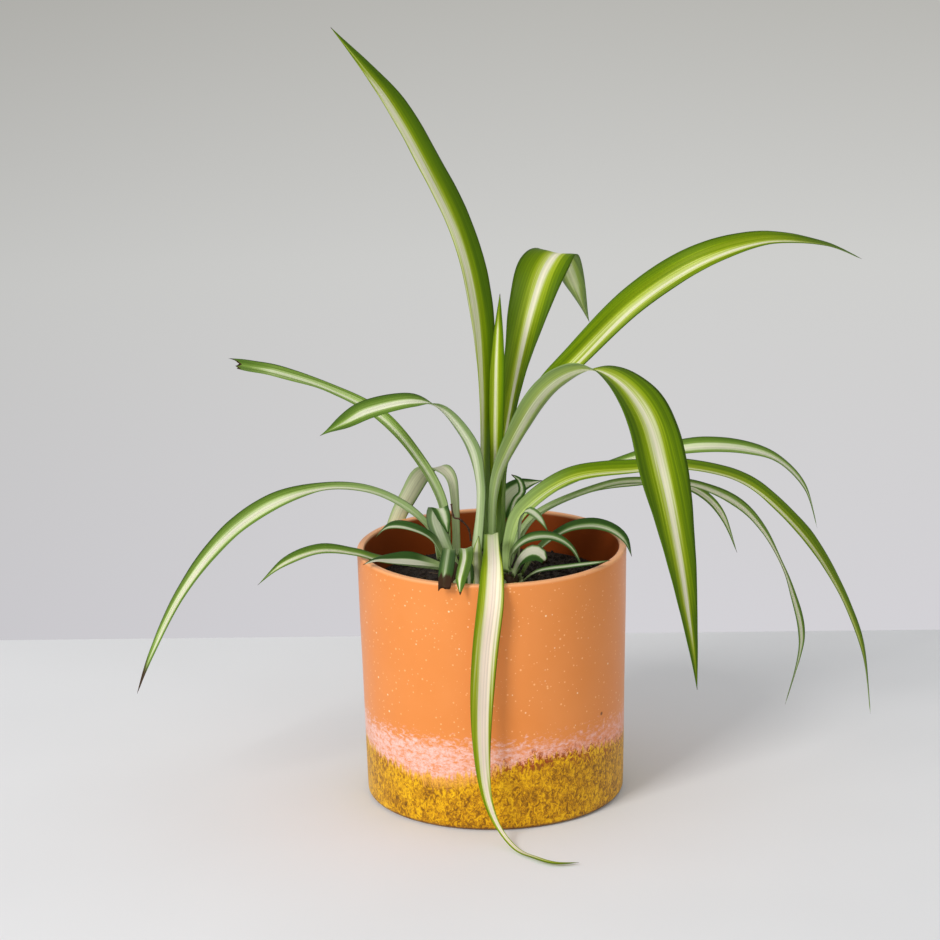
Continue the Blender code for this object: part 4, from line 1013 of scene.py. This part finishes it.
def makeCrumbTree():
    tree, given = newTree("crumbsOnSoil", {
        "Density": "NodeSocketFloat", "Smallest": "NodeSocketFloat", "Largest": "NodeSocketFloat",
        "Reach": "NodeSocketFloat", "Seed": "NodeSocketInt", "Material": "NodeSocketMaterial"})
    points = scatterPoints(tree, given)
    ball = addNode(tree, "GeometryNodeMeshIcoSphere", {"Radius": 1.0, "Subdivisions": 1})
    dentAt = addNode(tree, "GeometryNodeInputPosition")
    dent = addNode(tree, "ShaderNodeTexNoise", {"Vector": dentAt, "Scale": 1.6, "Detail": 2.0})
    size = addNode(tree, "ShaderNodeMapRange", {"Value": dent.outputs["Fac"], 1: 0.3, 2: 0.7,
                                                3: 0.55, 4: 1.25})
    pushed = addNode(tree, "ShaderNodeVectorMath", {0: dentAt, "Scale": size}, operation="SCALE")
    lump = addNode(tree, "GeometryNodeSetPosition", {"Geometry": ball, "Position": pushed})
    turn = addNode(tree, "FunctionNodeRandomValue", {
        0: (0, 0, 0), 1: (6.28, 6.28, 6.28), "Seed": given["Seed"]}, data_type="FLOAT_VECTOR")
    rotation = addNode(tree, "FunctionNodeEulerToRotation", {0: turn})
    chance = addNode(tree, "FunctionNodeRandomValue", {2: 0.0, 3: 1.0, "Seed": given["Seed"]},
                     data_type="FLOAT")
    rare = addNode(tree, "ShaderNodeMath", {0: chance.outputs[1], 1: 3.5}, operation="POWER")
    scale = addNode(tree, "ShaderNodeMapRange", {"Value": rare, 3: given["Smallest"], 4: given["Largest"]})
    squash = addNode(tree, "ShaderNodeVectorMath", {0: (1.0, 0.8, 0.65), "Scale": scale}, operation="SCALE")
    lumps = addNode(tree, "GeometryNodeInstanceOnPoints", {
        "Points": points, "Instance": lump, "Rotation": rotation, "Scale": squash})
    closeTree(tree, lumps, given["Material"])
    return tree


def makeFibreTree():
    tree, given = newTree("fibresOnSoil", {
        "Density": "NodeSocketFloat", "Length": "NodeSocketFloat", "Width": "NodeSocketFloat",
        "Reach": "NodeSocketFloat", "Seed": "NodeSocketInt", "Material": "NodeSocketMaterial"})
    points = scatterPoints(tree, given)
    hair = addNode(tree, "GeometryNodeCurveQuadraticBezier", {
        "Resolution": 8, "Start": (-0.5, 0, 0.02), "Middle": (0.05, 0.22, 0.28), "End": (0.5, -0.05, 0.04)})
    ring = addNode(tree, "GeometryNodeCurvePrimitiveCircle", {"Resolution": 5, "Radius": 1.0})
    thin = addNode(tree, "ShaderNodeMath", {0: given["Width"], 1: given["Length"]}, operation="DIVIDE")
    narrow = addNode(tree, "GeometryNodeTransform", {
        "Geometry": ring, "Scale": addNode(tree, "ShaderNodeCombineXYZ", {0: thin, 1: thin, 2: thin})})
    tube = addNode(tree, "GeometryNodeCurveToMesh", {
        "Curve": hair, "Profile Curve": narrow, "Fill Caps": True})
    turn = addNode(tree, "FunctionNodeRandomValue", {
        0: (-0.35, -0.35, 0.0), 1: (0.35, 0.35, 6.28), "Seed": given["Seed"]}, data_type="FLOAT_VECTOR")
    rotation = addNode(tree, "FunctionNodeEulerToRotation", {0: turn})
    size = addNode(tree, "FunctionNodeRandomValue", {2: 0.35, 3: 1.0, "Seed": given["Seed"]},
                   data_type="FLOAT")
    scale = addNode(tree, "ShaderNodeMath", {0: size.outputs[1], 1: given["Length"]}, operation="MULTIPLY")
    hairs = addNode(tree, "GeometryNodeInstanceOnPoints", {
        "Points": points, "Instance": tube, "Rotation": rotation, "Scale": scale})
    closeTree(tree, hairs, given["Material"])
    return tree


# Peat and coir potting mix, moist. That gives the eye a near-black crumbly bed.
soilTones = {
    "dark": "#120C09", "light": "#33231A", "fibre": "#8C7558",
    "gritCell": 1.42857, "fadeCell": 8.33333,
    "peatRough": 0.92, "fibreRough": 0.8, "gritHeight": 0.4,
}


def makeSoilMaterials():
    peat, tree, output = newMaterial("moistPeat")
    where = addNode(tree, "ShaderNodeTexCoord").outputs["Object"]
    grit = addNode(tree, "ShaderNodeTexNoise", {
        "Vector": where, "Scale": 1 / (soilTones["gritCell"] * mm), "Detail": 4.0, "Roughness": 0.7})
    tone = addNode(tree, "ShaderNodeValToRGB", {"Fac": grit.outputs["Fac"]})
    setRamp(tone, [(0.35, soilTones["dark"]), (0.7, soilTones["light"])])
    bump = addNode(tree, "ShaderNodeBump", {"Height": grit.outputs["Fac"], "Strength": 0.8,
                                            "Distance": soilTones["gritHeight"] * mm})
    surface = addNode(tree, "ShaderNodeBsdfPrincipled", {
        "Base Color": tone, "Roughness": soilTones["peatRough"], "Normal": bump})
    tree.links.new(surface.outputs[0], output.inputs["Surface"])

    fibre, tree, output = newMaterial("coirFibre")
    where = addNode(tree, "ShaderNodeTexCoord").outputs["Object"]
    fade = addNode(tree, "ShaderNodeTexNoise", {
        "Vector": where, "Scale": 1 / (soilTones["fadeCell"] * mm), "Detail": 1.0})
    tone = addNode(tree, "ShaderNodeValToRGB", {"Fac": fade.outputs["Fac"]})
    setRamp(tone, [(0.3, soilTones["light"]), (0.7, soilTones["fibre"])])
    surface = addNode(tree, "ShaderNodeBsdfPrincipled", {
        "Base Color": tone, "Roughness": soilTones["fibreRough"]})
    tree.links.new(surface.outputs[0], output.inputs["Surface"])
    return {"peat": peat, "fibre": fibre}


# Dry flower stalk
stalk = {
    "path": [(-10, -9, 128), (-11, -8, 134), (-15, -6, 138), (-18, -5, 139), (-19, -3, 145)],
    "radius": 0.42, "joint": 0.62, "sides": 9, "resolution": 60,
    "dark": "#2A1710", "light": "#5C3A26", "fibreCell": 1.11111, "rough": 0.75,
    "joints": 25.1,         # radians of the wave that swells it at its joints
}


def makeTwigTree():
    tree, given = newTree("twigAlongPath", {
        "Radius": "NodeSocketFloat", "Joint": "NodeSocketFloat", "Sides": "NodeSocketInt",
        "Count": "NodeSocketInt", "Material": "NodeSocketMaterial"})
    line = addNode(tree, "GeometryNodeMeshToCurve", {0: given["Geometry"]})
    curve = addNode(tree, "GeometryNodeCurveSplineType", {"Curve": line}, spline_type="CATMULL_ROM")
    even = addNode(tree, "GeometryNodeResampleCurve", {"Curve": curve, "Count": given["Count"]})
    share = addNode(tree, "GeometryNodeSplineParameter")
    beat = addNode(tree, "ShaderNodeMath", {0: share, 1: stalk["joints"]}, operation="MULTIPLY")
    swell = addNode(tree, "ShaderNodeMath", {0: beat}, operation="COSINE")
    sharp = addNode(tree, "ShaderNodeMapRange", {"Value": swell, 1: 0.6, 2: 1.0,
                                                 3: given["Radius"], 4: given["Joint"]})
    ring = addNode(tree, "GeometryNodeCurvePrimitiveCircle", {"Resolution": given["Sides"], "Radius": 1.0})
    tube = addNode(tree, "GeometryNodeCurveToMesh", {
        "Curve": even, "Profile Curve": ring, "Scale": sharp, "Fill Caps": True})
    smooth = addNode(tree, "GeometryNodeSetShadeSmooth", {"Geometry": tube})
    closeTree(tree, smooth, given["Material"])
    return tree


def makeStalk(material):
    points = [Vector(p) * mm for p in stalk["path"]]
    mesh = bpy.data.meshes.new("dry_stalk_twig")
    mesh.from_pydata(points, [(i, i + 1) for i in range(len(points) - 1)], [])
    return grow(addObject("dry_stalk_twig", mesh), makeTwigTree(), {
        "Radius": stalk["radius"] * mm, "Joint": stalk["joint"] * mm, "Sides": stalk["sides"],
        "Count": stalk["resolution"], "Material": material})


# Dried flower stalk: a dull brown fibrous twig with darker joints.
def makeStalkMaterial():
    material, tree, output = newMaterial("driedFlowerStalk")
    where = addNode(tree, "ShaderNodeTexCoord").outputs["Object"]
    fibres = addNode(tree, "ShaderNodeTexNoise", {
        "Vector": where, "Scale": 1 / (stalk["fibreCell"] * mm), "Detail": 2.0})
    tone = addNode(tree, "ShaderNodeValToRGB", {"Fac": fibres.outputs["Fac"]})
    setRamp(tone, [(0.35, stalk["dark"]), (0.65, stalk["light"])])
    surface = addNode(tree, "ShaderNodeBsdfPrincipled", {"Base Color": tone, "Roughness": stalk["rough"]})
    tree.links.new(surface.outputs[0], output.inputs["Surface"])
    return material


# Shelf, light and camera
room = {
    "shelf": "#E0E2E6", "shelfRough": 0.85,
    "shelfBack": 236.7, "shelfSkew": -0.01875, "shelfReach": 2500, "shelfDrop": 0.15,
    "sky": [(0.0, "#D4D2D7"), (0.08, "#CFCFCD"), (0.144, "#B4B3AE"), (0.32, "#D6D6D5")],
    "skyStrength": 1.0, "skyLeft": 0.82, "skySpan": (-0.32, 1.0), "dimSpan": (-0.3, 0.05),
    "lamps": {
        "softKey": {"at": (-1.3, -1.68, 1.55), "size": 0.8, "power": 39, "colour": "#FFFBF6"},
        "lowSheen": {"at": (-1.1, -1.15, 0.4), "size": 0.5, "power": 2.5, "colour": "#FFF8EC"},
    },
    "aim": (0, 0, 0.12),
}
view = {
    "at": (0.0, -1.690, 0.633), "pitch": 15.61, "yaw": -0.33, "roll": -1.086,
    "lens": 140.2, "sensor": 36,
}


def makeShelf():
    reach, back, skew = room["shelfReach"], room["shelfBack"], room["shelfSkew"]
    corners = [(-reach, -reach), (reach, -reach),
               (reach, back + skew * reach), (-reach, back - skew * reach)]
    mesh = bpy.data.meshes.new("shelf")
    mesh.from_pydata([Vector((x, y, -room["shelfDrop"])) * mm for x, y in corners], [], [(0, 1, 2, 3)])
    material, tree, output = newMaterial("paintedShelf")  # matt paint: an even tone with hardly any sheen
    where = addNode(tree, "ShaderNodeTexCoord").outputs["Object"]
    patch = addNode(tree, "ShaderNodeTexNoise", {"Vector": where, "Scale": 5.0, "Detail": 2.0})
    tone = addNode(tree, "ShaderNodeMapRange", {"Value": patch.outputs["Fac"], 1: 0.3, 2: 0.7,
                                                3: 0.97, 4: 1.02})
    colour = addNode(tree, "ShaderNodeHueSaturation", {"Color": hexColour(room["shelf"]), "Value": tone})
    surface = addNode(tree, "ShaderNodeBsdfPrincipled", {
        "Base Color": colour, "Roughness": room["shelfRough"]})
    tree.links.new(surface.outputs[0], output.inputs["Surface"])
    addObject("shelf", mesh, material)


def makeLight():
    world = bpy.data.worlds.new("studio")
    world.use_nodes = True
    tree = world.node_tree
    tree.nodes.clear()
    outward = addNode(tree, "ShaderNodeTexCoord").outputs["Generated"]
    ray = addNode(tree, "ShaderNodeSeparateXYZ", {0: outward})
    lowest, highest = room["skySpan"]
    tone = addNode(tree, "ShaderNodeMapRange", {"Value": ray.outputs["Z"], 1: lowest, 2: highest})
    sky = addNode(tree, "ShaderNodeValToRGB", {"Fac": tone})
    setRamp(sky, room["sky"])
    # it is dimmer towards the left
    leftmost, nearMiddle = room["dimSpan"]
    strength = addNode(tree, "ShaderNodeMapRange", {"Value": ray.outputs["X"], 1: leftmost, 2: nearMiddle,
                                                    3: room["skyLeft"], 4: room["skyStrength"]},
                       interpolation_type="SMOOTHSTEP")
    light = addNode(tree, "ShaderNodeBackground", {"Color": sky, "Strength": strength})
    addNode(tree, "ShaderNodeOutputWorld", {"Surface": light})
    bpy.context.scene.world = world
    for name, lamp in room["lamps"].items():
        panel = bpy.data.lights.new(name, "AREA")
        panel.size = lamp["size"]
        panel.energy = lamp["power"]
        panel.color = hexColour(lamp["colour"])[:3]
        item = bpy.data.objects.new(name, panel)
        item.location = lamp["at"]
        item.rotation_euler = (Vector(room["aim"]) - Vector(lamp["at"])).to_track_quat("-Z", "Y").to_euler()
        bpy.context.scene.collection.objects.link(item)


def makeCamera():
    pitch, yaw, roll = (math.radians(view[k]) for k in ("pitch", "yaw", "roll"))
    right = Vector((math.cos(yaw), -math.sin(yaw), 0))
    forward = Vector((math.cos(pitch) * math.sin(yaw), math.cos(pitch) * math.cos(yaw), -math.sin(pitch)))
    up = right.cross(forward)
    tilted = Matrix.Rotation(-roll, 3, forward)
    axes = [tilted @ right, tilted @ up, -forward]
    camera = bpy.data.cameras.new("camera")
    camera.lens = view["lens"]
    camera.sensor_width = view["sensor"]
    item = bpy.data.objects.new("camera", camera)
    item.matrix_world = Matrix.Translation(view["at"]) @ Matrix(axes).transposed().to_4x4()
    bpy.context.scene.collection.objects.link(item)
    bpy.context.scene.camera = item
    bpy.context.scene.view_settings.view_transform = "Standard"


makeShelf()
makeLight()
makeCamera()
print("shelf, light and camera are set")

glazed = makePot(makeGlaze())
place(glazed, ["pot"])
print("pot is turned and glazed")

soilMaterials = makeSoilMaterials()
bed, crumbs, fibres = makeSoil(makeCrumbTree(), makeFibreTree(), soilMaterials)
place(bed, ["soil"])
for loose in (crumbs, fibres):
    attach(loose, "root")
print("soil is laid:", len(crumbs.data.polygons), "crumb faces,", len(fibres.data.polygons), "fibre faces")

bladeTree = makeBladeTree()
bladeMaterials = {name: makeBladeMaterial(name) for name in bladeFinishes}
for number, (node, blade) in enumerate(blades.items()):
    mature = node.startswith("leaf_")
    skin = bladeMaterials[blade.get("skin") or ("variegatedBlade" if mature else "youngOffsetBlade")]
    piece = makeBlade(node + "_blade", blade, bladeTree, skin, number)
    place(piece, [node])
print(len(blades), "blades are grown")

for node, crown in crowns.items():
    cluster = makeCrown(node, crown, bladeTree, bladeMaterials["bleachedBaseAndPaintedLight"])
    place(cluster, [node])
print(len(crowns), "crowns are wrapped")

place(makeStalk(makeStalkMaterial()), ["dry_stalk"])
print("dry stalk is set")
